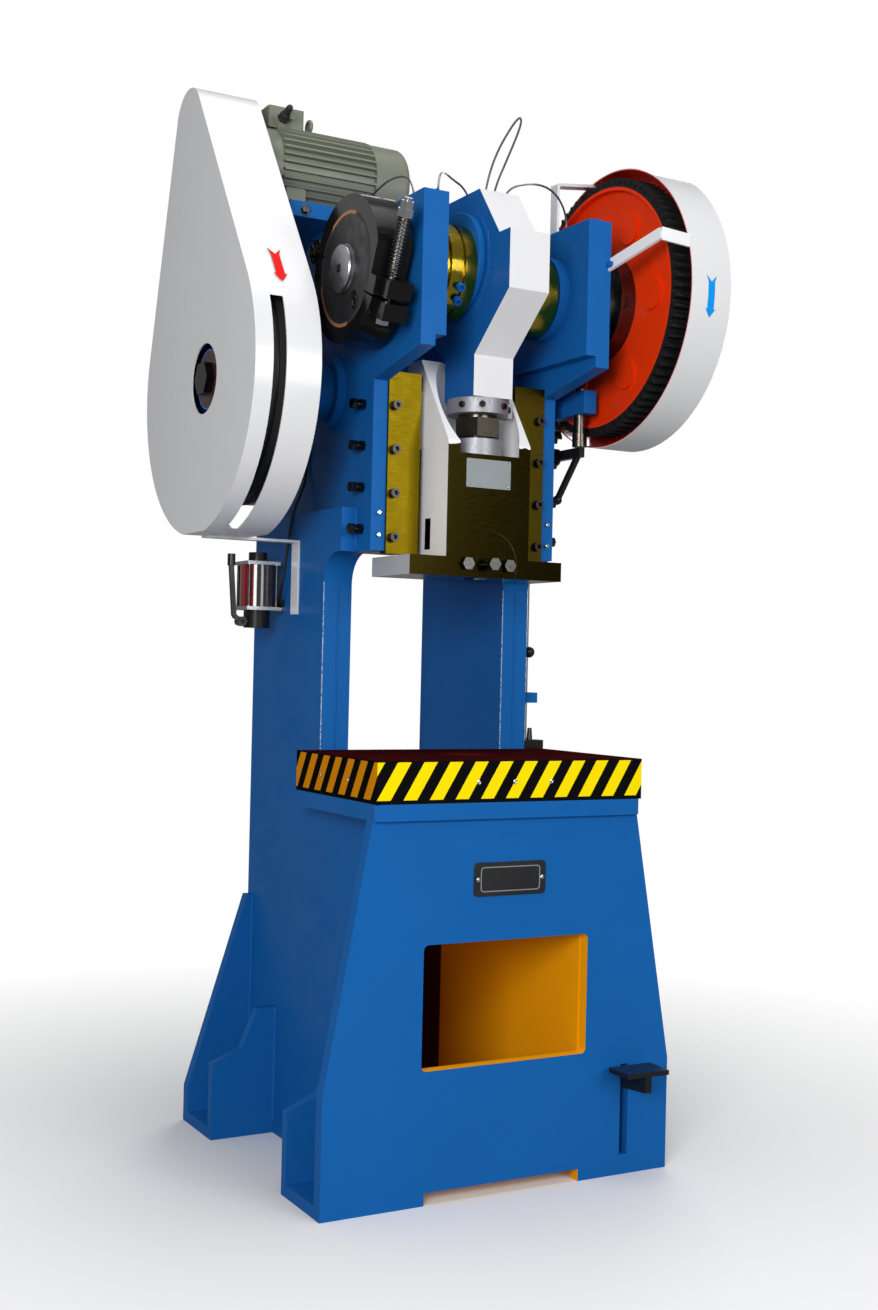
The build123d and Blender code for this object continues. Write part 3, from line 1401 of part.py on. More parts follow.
def pivot_pins():
    angle = math.radians(brake_tilt_deg)
    brake = x_rod(brake_left, -cheek_outer, crank_y + brake_pin_circle * math.cos(angle),
                  crank_z + brake_pin_circle * math.sin(angle), brake_pin_r)
    treadle = x_rod(side_outer, rod_x + pedal_lever_thick, pedal_pivot_y, pedal_lever_axis, pedal_pivot_r)
    trip = x_rod(cheek_outer, trip_x + trip_lever_thick, trip_pivot_y, trip_lever_z, trip_pivot_r)
    return Compound(children=[brake, treadle, trip])


def control_knob():
    ball_x = side_outer + knob_stem_length
    knob = x_rod(side_outer, ball_x, knob_y, knob_z, knob_stem_r)
    return knob + Pos(ball_x, knob_y, knob_z) * Sphere(knob_r)


def table_stop():
    front = throat_y + stop_table_gap
    top = table_height + stop_above_table
    stop = block((side_outer, side_outer + stop_block_length), (front, front + stop_block_width),
                 (top - stop_block_high, top))
    peg_x = side_outer + stop_block_length / 2
    peg_y = front + stop_block_width / 2
    peg = Pos(peg_x, peg_y, top + stop_peg_high / 2) * Cone(stop_peg_r, stop_peg_tip_r, stop_peg_high)
    return stop + peg


def trip_gear():
    pieces["pedal"] = pedal()
    pieces["pull_rod"] = pull_rod()
    pieces["trip_lever"] = trip_lever()
    pieces["trip_bracket"] = trip_bracket()
    pieces["trip_pin"] = trip_pin()
    pieces["pivot_pins"] = pivot_pins()
    pieces["control_knob"] = control_knob()
    pieces["table_stop"] = table_stop()


# Hand lubricator and its pipe

def lubricator_pump():
    flange = pump_flange_half
    pump = z_rod(pump_low, pump_flange_low, pump_x, pump_y, pump_base_r)
    pump += block((pump_x, -side_outer), (pump_y - pump_arm_half, pump_y + pump_arm_half),
                  (pump_flange_low, reservoir_low))
    pump += block((-side_outer - pump_foot_thick, -side_outer),
                  (pump_y - pump_foot_half, pump_y + pump_foot_half),
                  (pump_flange_low, pump_flange_low + pump_foot_high))
    for low in (pump_flange_low, reservoir_top):
        pump += block((pump_x - flange, pump_x + flange), (pump_y - flange, pump_y + flange),
                      (low, low + pump_flange_thick))
    tie = flange - pump_tie_r * 2
    for x in (pump_x - tie, pump_x + tie):
        for y in (pump_y - tie, pump_y + tie):
            pump += z_rod(reservoir_low, reservoir_top, x, y, pump_tie_r)
    top = reservoir_top + pump_flange_thick
    pump += z_rod(top, top + pump_cap_high, pump_x, pump_y, pump_cap_r)
    ear_front = pump_y - pump_ear_half
    ear_back = pump_y + pump_ear_half
    pump += y_rod(ear_front, ear_back, pump_pivot_x, pump_pivot_z, pump_ear_r)
    pump += block((pump_pivot_x, pump_x), (ear_front, ear_back),
                  (pump_pivot_z - pump_ear_r, pump_pivot_z + pump_ear_r))
    return pump + y_rod(ear_front - handle_hub_thick - seat_clearance, ear_front, pump_pivot_x, pump_pivot_z,
                        pump_pivot_r)


def lubricator_handle():
    hub_low = pump_y - pump_ear_half - seat_clearance - handle_hub_thick
    arm_y = hub_low + handle_hub_thick / 2
    start = (pump_pivot_x, arm_y, pump_pivot_z)
    elbow = (pump_pivot_x - handle_elbow_out, arm_y, pump_pivot_z + handle_elbow_rise)
    end = (pump_pivot_x - handle_out, arm_y, pump_pivot_z + handle_rise)
    handle = flat_bar(start, elbow, handle_r * 2, handle_r * 2, (0, 1, 0))
    handle += Pos(*elbow) * Sphere(handle_r)
    handle += flat_bar(elbow, end, handle_r * 2, handle_r * 2, (0, 1, 0))
    handle += z_rod(end[2], end[2] + handle_knob_long, end[0], end[1], handle_knob_r)
    handle += y_rod(hub_low, hub_low + handle_hub_thick, pump_pivot_x, pump_pivot_z, handle_hub_r)
    return handle - y_rod(hub_low - cut_over, hub_low + handle_hub_thick + cut_over, pump_pivot_x,
                          pump_pivot_z, pump_pivot_r + run_clearance)


def lubricator():
    pieces["lubricator_pump"] = lubricator_pump()
    pieces["lubricator_handle"] = lubricator_handle()
    glass = z_rod(reservoir_low, reservoir_top, pump_x, pump_y, reservoir_r)
    pieces["lubricator_reservoir"] = glass - z_rod(reservoir_low - cut_over, reservoir_top + cut_over, pump_x,
                                                   pump_y, reservoir_r - reservoir_wall)


frame()
feet()
table()
guides()
slide()
crank_group()
drive()
motor()
trip_gear()
lubricator()

os.makedirs("parts", exist_ok=True)
for name, shape in pieces.items():
    export_step(shape, "parts/" + name + ".step")
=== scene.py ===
from math import cos, pi, radians, sin

import bmesh
import bpy
from mathutils import Matrix, Vector


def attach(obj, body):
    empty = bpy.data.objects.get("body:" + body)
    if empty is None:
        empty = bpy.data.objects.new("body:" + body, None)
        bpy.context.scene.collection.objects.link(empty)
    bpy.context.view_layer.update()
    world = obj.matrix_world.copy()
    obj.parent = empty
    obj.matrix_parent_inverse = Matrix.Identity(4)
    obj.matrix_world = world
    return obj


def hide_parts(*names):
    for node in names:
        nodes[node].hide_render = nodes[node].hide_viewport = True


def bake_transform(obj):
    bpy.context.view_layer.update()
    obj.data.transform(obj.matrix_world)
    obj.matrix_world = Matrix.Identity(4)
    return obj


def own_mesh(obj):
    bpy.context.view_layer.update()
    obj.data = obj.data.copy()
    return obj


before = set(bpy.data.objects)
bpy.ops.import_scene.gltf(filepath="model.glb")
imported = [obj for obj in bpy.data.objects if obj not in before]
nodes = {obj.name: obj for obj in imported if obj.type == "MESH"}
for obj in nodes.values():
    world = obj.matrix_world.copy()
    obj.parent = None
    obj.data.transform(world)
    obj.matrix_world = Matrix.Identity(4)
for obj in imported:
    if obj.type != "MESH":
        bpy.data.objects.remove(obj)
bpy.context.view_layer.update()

# Camera, as fitted to the photograph
camera_place = (-1.5348, -2.8342, 0.967)
camera_yaw_deg = 28.91
camera_pitch_deg = 0.45
camera_roll_deg = -1.32
camera_lens = 43.42
camera_sensor = 36.0
camera_clip = 60.0

# Directions
up = Vector((0, 0, 1))
right = Vector((1, 0, 0))
to_left = (-1, 0, 0)
to_front = (0, -1, 0)
corner_signs = ((1, 1), (-1, 1), (-1, -1), (1, -1))

# Places on the frame; all sizes and places are in metres
base_front = -0.345
table_front = -0.3575
table_half = 0.285
cheek_inner = 0.175
cheek_outer = 0.205
side_outer = 0.236
column_front = -0.008
column_range = (0.8, 1.13)
guide_front = -0.1525
ram_front = -0.238
motor_plate_front = 0.027

# Axes of the crankshaft, its pin and the flywheel shaft
crank_y = -0.188
crank_z = 1.7
crank_pin_z = 1.74
shaft_y = 0.0498
shaft_z = 1.5122

# Facets round small turned pieces
rivet_steps = 12
screw_steps = 16
bolt_steps = 20
head_steps = 24
washer_steps = 28
plug_steps = 32
shaft_end_steps = 64
flange_steps = 96
hexagon_steps = 6
square_steps = 4

# Shares of the screw and bolt heads
washer_edge_share = 0.2
crown_share = 0.12
hexagon_foot_share = 0.94
hexagon_top_share = 0.86
cap_edge_share = 0.12
socket_share = 0.55
socket_foot_share = 0.94
socket_floor_share = 0.45

# Name plate on the base; an outline is its width, height and corner radius
base_plate_centre = (0, base_front, 0.581)
base_plate_outline = (0.154, 0.062, 0.008)
base_plate_thick = 0.003
base_plate_edge = 0.0008
border_outline = (0.128, 0.046, 0.007)
border_inner_outline = (0.124, 0.042, 0.005)
border_low = 0.0029
border_top = 0.0036
base_screw_x = 0.069
base_screw_profile = ((0.0042, 0), (0.0042, 0.001), (0.003, 0.0022), (0.0008, 0.0026))

# Plate on the ram
ram_plate_centre = (-0.002, ram_front, 1.338)
ram_plate_outline = (0.098, 0.055, 0.002)
ram_plate_thick = 0.0012
ram_plate_edge = 0.0003
rivet_x = 0.044
rivet_z = 0.0225
rivet_profile = ((0.0024, 0), (0.0022, 0.0008), (0.001, 0.0015))

# Screws in the table's edges and pins in the guides
table_screw_profile = ((0.0042, 0), (0.0042, 0.0012), (0.0026, 0.0016), (0.0024, 0.0002))
table_front_screw_xs = (-0.0779, -0.0011, 0.0787)
table_front_screw_z = 0.7597
table_side_screws = ((-0.2421, 0.7597), (-0.1221, 0.7611))
guide_pin_x = 0.19
guide_pin_zs = (1.259, 1.2165)
guide_pin_profile = ((0.0042, -0.002), (0.0042, 0.0008), (0.0034, 0.0014))

# Bolts of the motor plate and gland of the terminal box; a bolt's or a nut's sizes are the radius and
# height of its hexagon, then of its washer
motor_bolt_xs = (-0.279, -0.06, 0.12)
motor_bolt_z = 1.8635
motor_bolt_sizes = (0.0085, 0.0065, 0.0105, 0.002)
gland_place = (-0.2955, 0.1125, 2.066)
gland_direction = (0, -1, 0.35)
gland_hexagon_sizes = (0.0125, 0.007)
gland_profile = ((0.0105, 0.006), (0.0105, 0.013), (0.009, 0.018), (0.0072, 0.02), (0.0068, 0.036),
                 (0.0055, 0.04), (0.002, 0.041))

# Weld beads on both sides: x, start and end in y and z, and the radius and pitch of those that differ
weld_r = 0.0045
weld_pitch = 0.007
weld_thin_r = 0.0022
weld_thin_pitch = 0.005
weld_head_r = 0.003
weld_front_r = 0.004
weld_front_half = 0.24
weld_front_z = 0.693
bead_rows = 3
bead_points = 8
bead_wave_share = 0.12
bead_taper_rows = 4
side_welds = (
    (cheek_outer, (-0.0085, 0.802), (-0.0085, 1.125), weld_thin_r, weld_thin_pitch),
    (cheek_outer, (-0.083, 1.272), (0.345, 1.272)),
    (cheek_outer, (-0.083, 1.192), (-0.083, 1.272)),
    (side_outer, (-0.177, 0.023), (-0.177, 0.3)),
    (side_outer, (0.182, 0.023), (0.182, 0.259)),
    (side_outer, (-0.32, 0.03), (-0.32, 0.69)),
    (side_outer, (0.32, 0.03), (0.32, 0.47)),
    (side_outer, (-0.31, 0.023), (-0.2, 0.023)),
    (side_outer, (0.205, 0.023), (0.31, 0.023)),
    (side_outer, (-0.318, 0.693), (-0.012, 0.693)),
    (cheek_inner, (-0.331, 1.832), (-0.05, 1.832), weld_head_r),
)

# Brake, with u along its split towards the back
brake_tilt_deg = 24.4
brake_left = -0.291
brake_right = -0.221
shaft_end_profile = ((0.0455, 0), (0.0455, 0.0035), (0.044, 0.0042), (0.044, 0.0098), (0.0424, 0.0126))
shaft_square_x = -0.3032
shaft_square_profile = ((0.01, 0), (0.01, 0.0012), (0.0082, 0.0022), (0.006, 0.0022), (0.0056, 0.001))
drum_plug_place = (brake_left, -0.2328, 1.6295)
drum_plug_profile = ((0.012, 0), (0.012, 0.0012), (0.0105, 0.002), (0.0085, 0.002), (0.006, 0.0006))
brake_pin_u = 0.148
brake_nut_sizes = (0.0125, 0.008, 0.016, 0.003)
spring_x = -0.256
spring_u = -0.1278
spring_low = 0.018
spring_high = 0.126
spring_r = 0.0106
spring_wire_r = 0.002
spring_turns = 17
spring_steps = 16

# Crank pin flange, lug bolts of the stroke sleeve and screws of the clamp ring
flange_left = -0.0608
flange_thick = 0.013
flange_r = 0.099
flange_bore_r = 0.0502
flange_edge = 0.0015
sleeve_z = 1.722
sleeve_r = 0.092
lug_sink = 0.002
lug_places = ((-0.094, 208.0), (-0.091, 224.0))
lug_profile = ((0.0062, 0), (0.0062, 0.004), (0.0088, 0.0045), (0.0088, 0.0125), (0.0074, 0.0145),
               (0.005, 0.0145), (0.0046, 0.009))
clamp_screw_degs = (-150.0, -112.0, -65.0, -20.0, 60.0, 120.0)
clamp_screw_z = 1.4695
clamp_ring_r = 0.0588
clamp_screw_r = 0.0062
clamp_screw_high = 0.0055

# Guards, the bolt in the front bar and the turning arrows; an arrow is its length and width, the length and
# width of its head, and its notch
belt_guard_centre = (-0.408, 0.0898, 1.5182)
belt_guard_r = 0.3
belt_tangent_deg = 144.98
guard_bolt_place = (0.2008, -0.3365, 1.7478)
guard_bolt_axis = (-0.956, -0.292, 0)
guard_bolt_profile = ((0.0064, -0.002), (0.0064, 0.0026), (0.0052, 0.0046), (0.0022, 0.0052))
gear_guard_centre = (0.343, crank_y, crank_z)
gear_guard_r = 0.279
gear_arrow_deg = 184.0
gear_arrow = (0.08, 0.0155, 0.016, 0.024, 0.013)
belt_arrow = (0.083, 0.0165, 0.018, 0.026, 0.014)
belt_arrow_shift = 0.0122
arrow_sink = 0.001
arrow_lift = 0.0003
arrow_tip_half = 0.0004
arrow_tail_share = 0.8
arrow_steps = 6

# Control points of the hose and the oil tubes
tube_r = 0.0021
tube_steps = 8
hose_r = 0.0029
hose_steps = 10
union_sizes = (0.0062, 0.018)
union_sink = 0.006
union_place = (-0.2085, 0.15, 1.4)
pump_hose_route = ((-0.262, 0.196, 1.0795), (-0.25, 0.204, 1.0795), (-0.241, 0.206, 1.092),
                   (-0.24, 0.19, 1.13), (-0.24, 0.1755, 1.1732), (-0.24, 0.1574, 1.2361),
                   (-0.238, 0.145, 1.28), (-0.215, 0.148, 1.33), (-0.2085, 0.15, 1.36), union_place)
left_head_route = (union_place, (-0.208, 0.15, 1.64), (-0.208, 0.09, 1.76), (-0.208, 0.016, 1.815),
                   (-0.204, 0.014, 1.862), (-0.19, -0.05, 1.868), (-0.19, -0.15, 1.892),
                   (-0.19, -0.235, 1.88), (-0.19, -0.262, 1.848), (-0.19, -0.266, 1.828))
pitman_loop_route = ((-0.022, -0.236, 1.873), (-0.022, -0.244, 1.9), (-0.02, -0.275, 1.945),
                     (-0.012, -0.318, 1.985), (-0.004, -0.33, 1.996), (0.002, -0.322, 1.982),
                     (0.002, -0.272, 1.93), (0.000, -0.236, 1.89), (0.000, -0.23, 1.873))
left_pitman_route = ((-0.166, -0.312, 1.828), (-0.164, -0.308, 1.862), (-0.128, -0.262, 1.89),
                     (-0.084, -0.214, 1.896), (-0.04, -0.19, 1.89), (-0.03, -0.186, 1.873))
right_pitman_route = ((0.024, -0.232, 1.873), (0.026, -0.238, 1.89), (0.062, -0.262, 1.9),
                      (0.112, -0.252, 1.902), (0.16, -0.222, 1.89), (0.186, -0.204, 1.86),
                      (0.188, -0.2, 1.828))

# Borders of the paints
inner_half = 0.1775
inner_y_range = (-0.3447, 0.3215)
inner_z_range = (-0.01, 0.694)
# Where the painted shade at the back between the cheeks begins
inner_shade_y = 0.221
wear_width = 0.0016
wear_share = 0.48
pitman_white_half = 0.0431
pitman_white_normal = -0.35
ram_plate_top = 1.1775
ram_white_low = 1.392
ram_front_normal = -0.92
side_normal = 0.5
stripe_pitch = 0.053
stripe_lean_share = 0.6
stripe_black_share = 0.485
stripe_phase = 50.38
stripe_range = (0.73, 0.7975)
edge_skin = 0.0008
gear_red_r = 0.24
gear_hub_r = 0.079
gear_guard_inside_r = 0.2775
gear_guard_end = 0.3865
flywheel_hub_r = 0.055
flywheel_web_r = 0.18
lining_copper_range = (-0.055, 0.088)
pump_x = -0.29
pump_y = 0.202
pump_base_top = 1.0755
pump_base_reach = 0.0285
pump_rod_range = (1.084, 1.168)
pump_cap_low = 1.1765
band_across = (0.875, 0.483)
band_edge = -0.004

# Colours
blue = (0.008, 0.116, 0.39)
white = (0.77, 0.77, 0.785)
black = (0.01, 0.01, 0.011)
orange = (1.0, 0.42, 0.004)
red = (0.88, 0.042, 0.003)
# Painted shade at the back between the cheeks
painted_shade_maroon = (0.06, 0.014, 0.01)
worn_paint = (0.55, 0.62, 0.72)
olive = (0.15, 0.102, 0.003)
# Painted dark reflection on the right gib plate
gib_dark_reflection = (0.06, 0.044, 0.004)
lacquer_brown = (0.021, 0.0155, 0.0022)
bare_grey = (0.46, 0.46, 0.48)
stripe_yellow = (1.0, 0.75, 0.003)
# Painted shade of the band's yellow on the table's left edge
stripe_shade_amber = (0.66, 0.24, 0.004)
table_maroon = (0.05, 0.005, 0.005)
gear_black = (0.016, 0.016, 0.017)
crank_yellow = (0.43, 0.31, 0.03)
bare_steel = (0.4, 0.4, 0.42)
copper_shades = ((0.27, 0.11, 0.042), (0.47, 0.22, 0.095))
lining_dark_shades = ((0.016, 0.015, 0.014), (0.04, 0.034, 0.03))
smoke_shades = ((0.012, 0.01, 0.012), (0.055, 0.045, 0.05))
band_shades = ((0.17, 0.006, 0.008), (0.26, 0.012, 0.012))
rubber_shades = ((0.01, 0.01, 0.01), (0.024, 0.024, 0.024))
pump_grey = (0.46, 0.46, 0.47)
pump_rod_grey = (0.07, 0.07, 0.072)
hub_rust = (0.045, 0.012, 0.008)
floor_white = (0.92, 0.92, 0.92)
floor_bounce = (0.4, 0.4, 0.4)
ambient_color = (0.97, 0.98, 1.0, 1)
backdrop_color = (1, 1, 1, 1)

# Grain of the paints and metals
noise_range = (0.3, 0.7)
mix_color_inputs = (6, 7)
mix_color_output = 2
enamel_patch_scale = 5.0
enamel_gloss_scale = 14.0
enamel_peel_scale = 130.0
enamel_run_scale = 34.0
enamel_rough_shares = (0.8, 1.35)
enamel_coat_rough = 0.08
metal_patch_scale = 9.0
metal_patch_spread = 0.12
metal_rough_shares = (0.75, 1.3)
turned_pitch = 0.0022
turned_ring_share = 0.35
turned_grain_scale = 220.0
turned_patch_scale = 11.0
turned_patch_spread = 0.1
turned_gloss_scale = 60.0
dull_rough = 0.7
blue_gloss = {"rough": 0.34, "coat": 0.0, "gloss": 0.06}

# Studio
floor_far = 9.0
floor_fade = (0.5, 2.0)
floor_rough = 0.8
ambient_strength = 0.26
lights = {
    # place, aim, size, power
    "key_light": ((1.0, -5.0, 2.2), (0, -0.2, 1.0), (2.4, 2.0), 90),
    "camera_light": ((-2.7, -3.1, 1.6), (0, -0.2, 1.2), (1.4, 1.4), 92),
    "top_light": ((0, -0.8, 5.2), (0, -0.2, 1.0), (3.0, 3.0), 62),
    "rim_light": ((2.4, 3.0, 3.2), (0, 0, 1.4), (2.0, 2.0), 45),
}

# Paints and metals without a pattern of their own
plain_enamels = {
    # name, colour, roughness, coat, depth of the peel, spread of the colour, gloss
    "white": ("white_enamel", white, 0.24, 0.15, 0.00006, 0.02),
    "black": ("black_enamel", black, 0.24, 0.0, 0.00015, 0.25, 0.3),
    "brake_black": ("brake_black", (0.006, 0.006, 0.0065), 0.14, 0.0, 0.0001, 0.25, 0.2),
    "grey": ("motor_enamel", (0.18, 0.196, 0.145), 0.42, 0.1, 0.0002, 0.08),
    "plate_black": ("plate_black", (0.008, 0.008, 0.009), 0.3, 0.2, 0.00004, 0.15),
    "arrow_red": ("arrow_red", (0.78, 0.008, 0.005), 0.45, 0.0, 0.00004, 0.05, 0.1),
    "arrow_blue": ("arrow_blue", (0.001, 0.29, 0.8), 0.45, 0.0, 0.00004, 0.05, 0.1),
}
plain_metals = {
    # name, colour, roughness, stretch of the marks, their scale and depth, metallic share
    "steel": ("turned_steel", (0.5, 0.5, 0.51), 0.26, (1, 1, 8), 120.0),
    "bright": ("bright_steel", (0.66, 0.66, 0.67), 0.16, (1, 1, 6), 120.0),
    "dark": ("black_oxide_steel", (0.06, 0.057, 0.054), 0.26, (1, 1, 1), 200.0),
    "alloy": ("grey_alloy", (0.34, 0.34, 0.37), 0.5, (6, 6, 1), 120.0, 0.00005, 0.7),
    "iron": ("cast_iron", (0.06, 0.058, 0.055), 0.4, (1, 1, 1), 90.0, 0.0001),
    "spring": ("spring_steel", (0.11, 0.096, 0.082), 0.28, (1, 1, 1), 200.0),
    "screw": ("oiled_screw_steel", (0.085, 0.075, 0.06), 0.2, (1, 1, 8), 120.0),
    "bolt": ("bolt_steel", (0.21, 0.205, 0.19), 0.22, (1, 1, 8), 120.0),
    "bronze": ("bush_bronze", (0.42, 0.27, 0.1), 0.3),
    "tube": ("oil_tube_steel", (0.34, 0.34, 0.35), 0.34),
    "plate_metal": ("name_plate_metal", (0.24, 0.27, 0.28), 0.45, (14, 1, 1), 90.0, 0.00003, 0.3),
}
turned_metals = {
    # name, colour, roughness, metallic share, depth of the rings
    "drum": ("brake_drum_iron", (0.046, 0.046, 0.048), 0.46, 0.6),
    "turned": ("turned_shaft_end", (0.4, 0.4, 0.41), 0.34, 1.0, 0.000004),
    "clutch": ("clutch_steel", (0.12, 0.12, 0.124), 0.28),
}

# Which material each solid has
node_materials = {
    "blue": ["left_cheek", "right_cheek", "left_side_plate", "right_side_plate", "head_pads", "front_plate",
             "rear_plate", "front_feet", "rear_feet", "bed_plate", "back_tie_plate", "shaft_bearings",
             "motor_plate", "trip_bracket"],
    "hazard": ["bolster_plate"],
    "bronze": ["main_bushes"],
    "lacquer": ["gib_plates", "guide_rails"],
    "dark_lacquer": ["tool_clamp"],
    "dark": ["gib_screws", "gib_adjusters", "pinion_shaft"],
    "spring": ["brake_spring", "trip_pin"],
    "clutch": ["clutch_hub"],
    "white": ["belt_guard", "guard_brackets"],
    "gear_guard": ["gear_guard"],
    "grey": ["motor_body", "fan_cowl", "terminal_box"],
    "rubber": ["v_belts"],
    "steel": ["pivot_pins", "pull_rod", "brake_bolt"],
    "bolt": ["tool_bolts"],
    "alloy": ["clamp_ring", "ball_cap"],
    "pump": ["lubricator_pump"],
    "reservoir": ["lubricator_reservoir"],
    "black": ["control_knob", "table_stop", "pedal", "trip_lever", "lubricator_handle"],
    "brake_black": ["upper_brake_arm", "lower_brake_arm"],
    "crank": ["crankshaft", "stroke_sleeve"],
    "drum": ["brake_drum"],
    "gear": ["bull_gear"],
    "iron": ["motor_pulley"],
    "screw": ["ball_screw"],
    "flywheel": ["flywheel"],
    "ram": ["ram"],
    "pitman": ["pitman", "pitman_cap"],
    "lining": ["upper_brake_lining", "lower_brake_lining"],
}


# Shader nodes

materials = {}


def find(tree, kind):
    return next(node for node in tree.nodes if node.type == kind)


def new_material(key, name):
    """Files a new material under a short key, and gives back its nodes."""
    material = bpy.data.materials.new(name)
    material.use_nodes = True
    materials[key] = material
    return material.node_tree


def add(tree, kind, **settings):
    node = tree.nodes.new(kind)
    for key, value in settings.items():
        setattr(node, key, value)
    return node


def feed(tree, node, name, value):
    """Gives an input of a node a value, or links it to an output."""
    if isinstance(value, bpy.types.NodeSocket):
        tree.links.new(value, node.inputs[name])
    else:
        node.inputs[name].default_value = value


def put(tree, name, value):
    """Feeds an input of the material's surface shader."""
    feed(tree, find(tree, "BSDF_PRINCIPLED"), name, value)


def math_node(tree, operation, *values):
    node = add(tree, "ShaderNodeMath", operation=operation)
    for index, value in enumerate(values):
        feed(tree, node, index, value)
    return node.outputs[0]


def plus(tree, first, second):
    return math_node(tree, "ADD", first, second)


def minus(tree, first, second):
    return math_node(tree, "SUBTRACT", first, second)


def times(tree, first, second):
    return math_node(tree, "MULTIPLY", first, second)


def less(tree, value, limit):
    return math_node(tree, "LESS_THAN", value, limit)


def more(tree, value, limit):
    return math_node(tree, "GREATER_THAN", value, limit)


def both(tree, first, second):
    """Mask that is one where both masks are."""
    return times(tree, first, second)


def either(tree, first, second):
    """Mask that is one where at least one mask is."""
    return math_node(tree, "MAXIMUM", first, second)


def opposite(tree, mask):
    return minus(tree, 1.0, mask)


def between(tree, value, low, high):
    return both(tree, more(tree, value, low), less(tree, value, high))


def coords(tree, stretch=(1, 1, 1)):
    source = add(tree, "ShaderNodeTexCoord")
    mapping = add(tree, "ShaderNodeMapping")
    feed(tree, mapping, "Scale", stretch)
    feed(tree, mapping, "Vector", source.outputs["Object"])
    return mapping.outputs["Vector"]


def axes(tree, output="Object"):
    source = add(tree, "ShaderNodeTexCoord")
    split = add(tree, "ShaderNodeSeparateXYZ")
    feed(tree, split, 0, source.outputs[output])
    return split.outputs


def axis_radius(tree, place, centre_y, centre_z):
    """Distance from an axis that runs along x."""
    dy = minus(tree, place[1], centre_y)
    dz = minus(tree, place[2], centre_z)
    return math_node(tree, "SQRT", plus(tree, times(tree, dy, dy), times(tree, dz, dz)))


def noise(tree, scale, detail=4.0, stretch=(1, 1, 1)):
    node = add(tree, "ShaderNodeTexNoise")
    feed(tree, node, "Scale", scale)
    feed(tree, node, "Detail", detail)
    feed(tree, node, "Vector", coords(tree, stretch))
    return node.outputs["Fac"]


def map_range(tree, value, source, target=(0.0, 1.0)):
    """Moves a value from one range to another, and holds it there."""
    node = add(tree, "ShaderNodeMapRange")
    feed(tree, node, "Value", value)
    for name, limit in zip(("From Min", "From Max", "To Min", "To Max"), (*source, *target)):
        feed(tree, node, name, limit)
    return node.outputs["Result"]


def remap(tree, value, low, high):
    """Spreads the usual range of a noise from low to high."""
    return map_range(tree, value, noise_range, (low, high))


def mix(tree, factor, first, second):
    node = add(tree, "ShaderNodeMix", data_type="RGBA")
    feed(tree, node, "Factor", factor)
    for index, color in zip(mix_color_inputs, (first, second)):
        feed(tree, node, index, (*color, 1) if isinstance(color, tuple) else color)
    return node.outputs[mix_color_output]


def shade(color, share):
    return tuple(min(1.0, channel * share) for channel in color)


def mottled(tree, color, scale, spread):
    """Colour with slightly darker and lighter patches."""
    return mix(tree, noise(tree, scale), shade(color, 1 - spread), shade(color, 1 + spread))


def bump(tree, height, distance):
    node = add(tree, "ShaderNodeBump")
    feed(tree, node, "Strength", 1.0)
    feed(tree, node, "Distance", distance)
    feed(tree, node, "Height", height)
    put(tree, "Normal", node.outputs["Normal"])


def roughness(tree, grain, rough, shares):
    put(tree, "Roughness", remap(tree, grain, *(rough * share for share in shares)))


def recolour(tree, mask, color, scale, spread):
    """Puts another mottled paint over the base colour where the mask is one."""
    base = find(tree, "BSDF_PRINCIPLED").inputs["Base Color"].links[0].from_socket
    put(tree, "Base Color", mix(tree, mask, base, mottled(tree, color, scale, spread)))


# Kinds of paint and metal

def enamel(key, name, color, rough, coat, peel=0.00012, spread=0.07, gloss=0.5):
    """Brushed or sprayed gloss enamel: slight orange peel, runs and dull patches."""
    tree = new_material(key, name)
    put(tree, "Base Color", mottled(tree, color, enamel_patch_scale, spread))
    roughness(tree, noise(tree, enamel_gloss_scale), rough, enamel_rough_shares)
    put(tree, "Specular IOR Level", gloss)
    put(tree, "Coat Weight", coat)
    put(tree, "Coat Roughness", enamel_coat_rough)
    waves = plus(tree, noise(tree, enamel_peel_scale, detail=2.0), noise(tree, enamel_run_scale, detail=2.0))
    bump(tree, waves, peel)
    return tree


def metal(key, name, color, rough, stretch=(1, 1, 1), scale=160.0, cut=0.00004, metallic=1.0):
    """Machined metal: fine tool marks, closest together along the stretched directions."""
    tree = new_material(key, name)
    put(tree, "Base Color", mottled(tree, color, metal_patch_scale, metal_patch_spread))
    marks = noise(tree, scale, detail=3.0, stretch=stretch)
    roughness(tree, marks, rough, metal_rough_shares)
    put(tree, "Metallic", metallic)
    bump(tree, marks, cut)
    return tree


def rings(key, name, color, rough, metallic=1.0, cut=0.00003):
    """Metal turned on a lathe: fine rings about the axis of the crankshaft."""
    tree = new_material(key, name)
    place = axes(tree)
    along = plus(tree, axis_radius(tree, place, crank_y, crank_z), place[0])
    wave = math_node(tree, "SINE", times(tree, along, 2 * pi / turned_pitch))
    fine = noise(tree, turned_grain_scale, detail=3.0)
    grain = plus(tree, times(tree, wave, turned_ring_share), fine)
    put(tree, "Base Color", mottled(tree, color, turned_patch_scale, turned_patch_spread))
    roughness(tree, noise(tree, turned_gloss_scale), rough, metal_rough_shares)
    put(tree, "Metallic", metallic)
    bump(tree, grain, cut)
    return tree


def dark_lacquer(key, name):
    """Smooth brown-black lacquer over steel."""
    return metal(key, name, lacquer_brown, rough=0.2, stretch=(1, 1, 10), scale=50.0, cut=0.000004)


# Materials of the machine

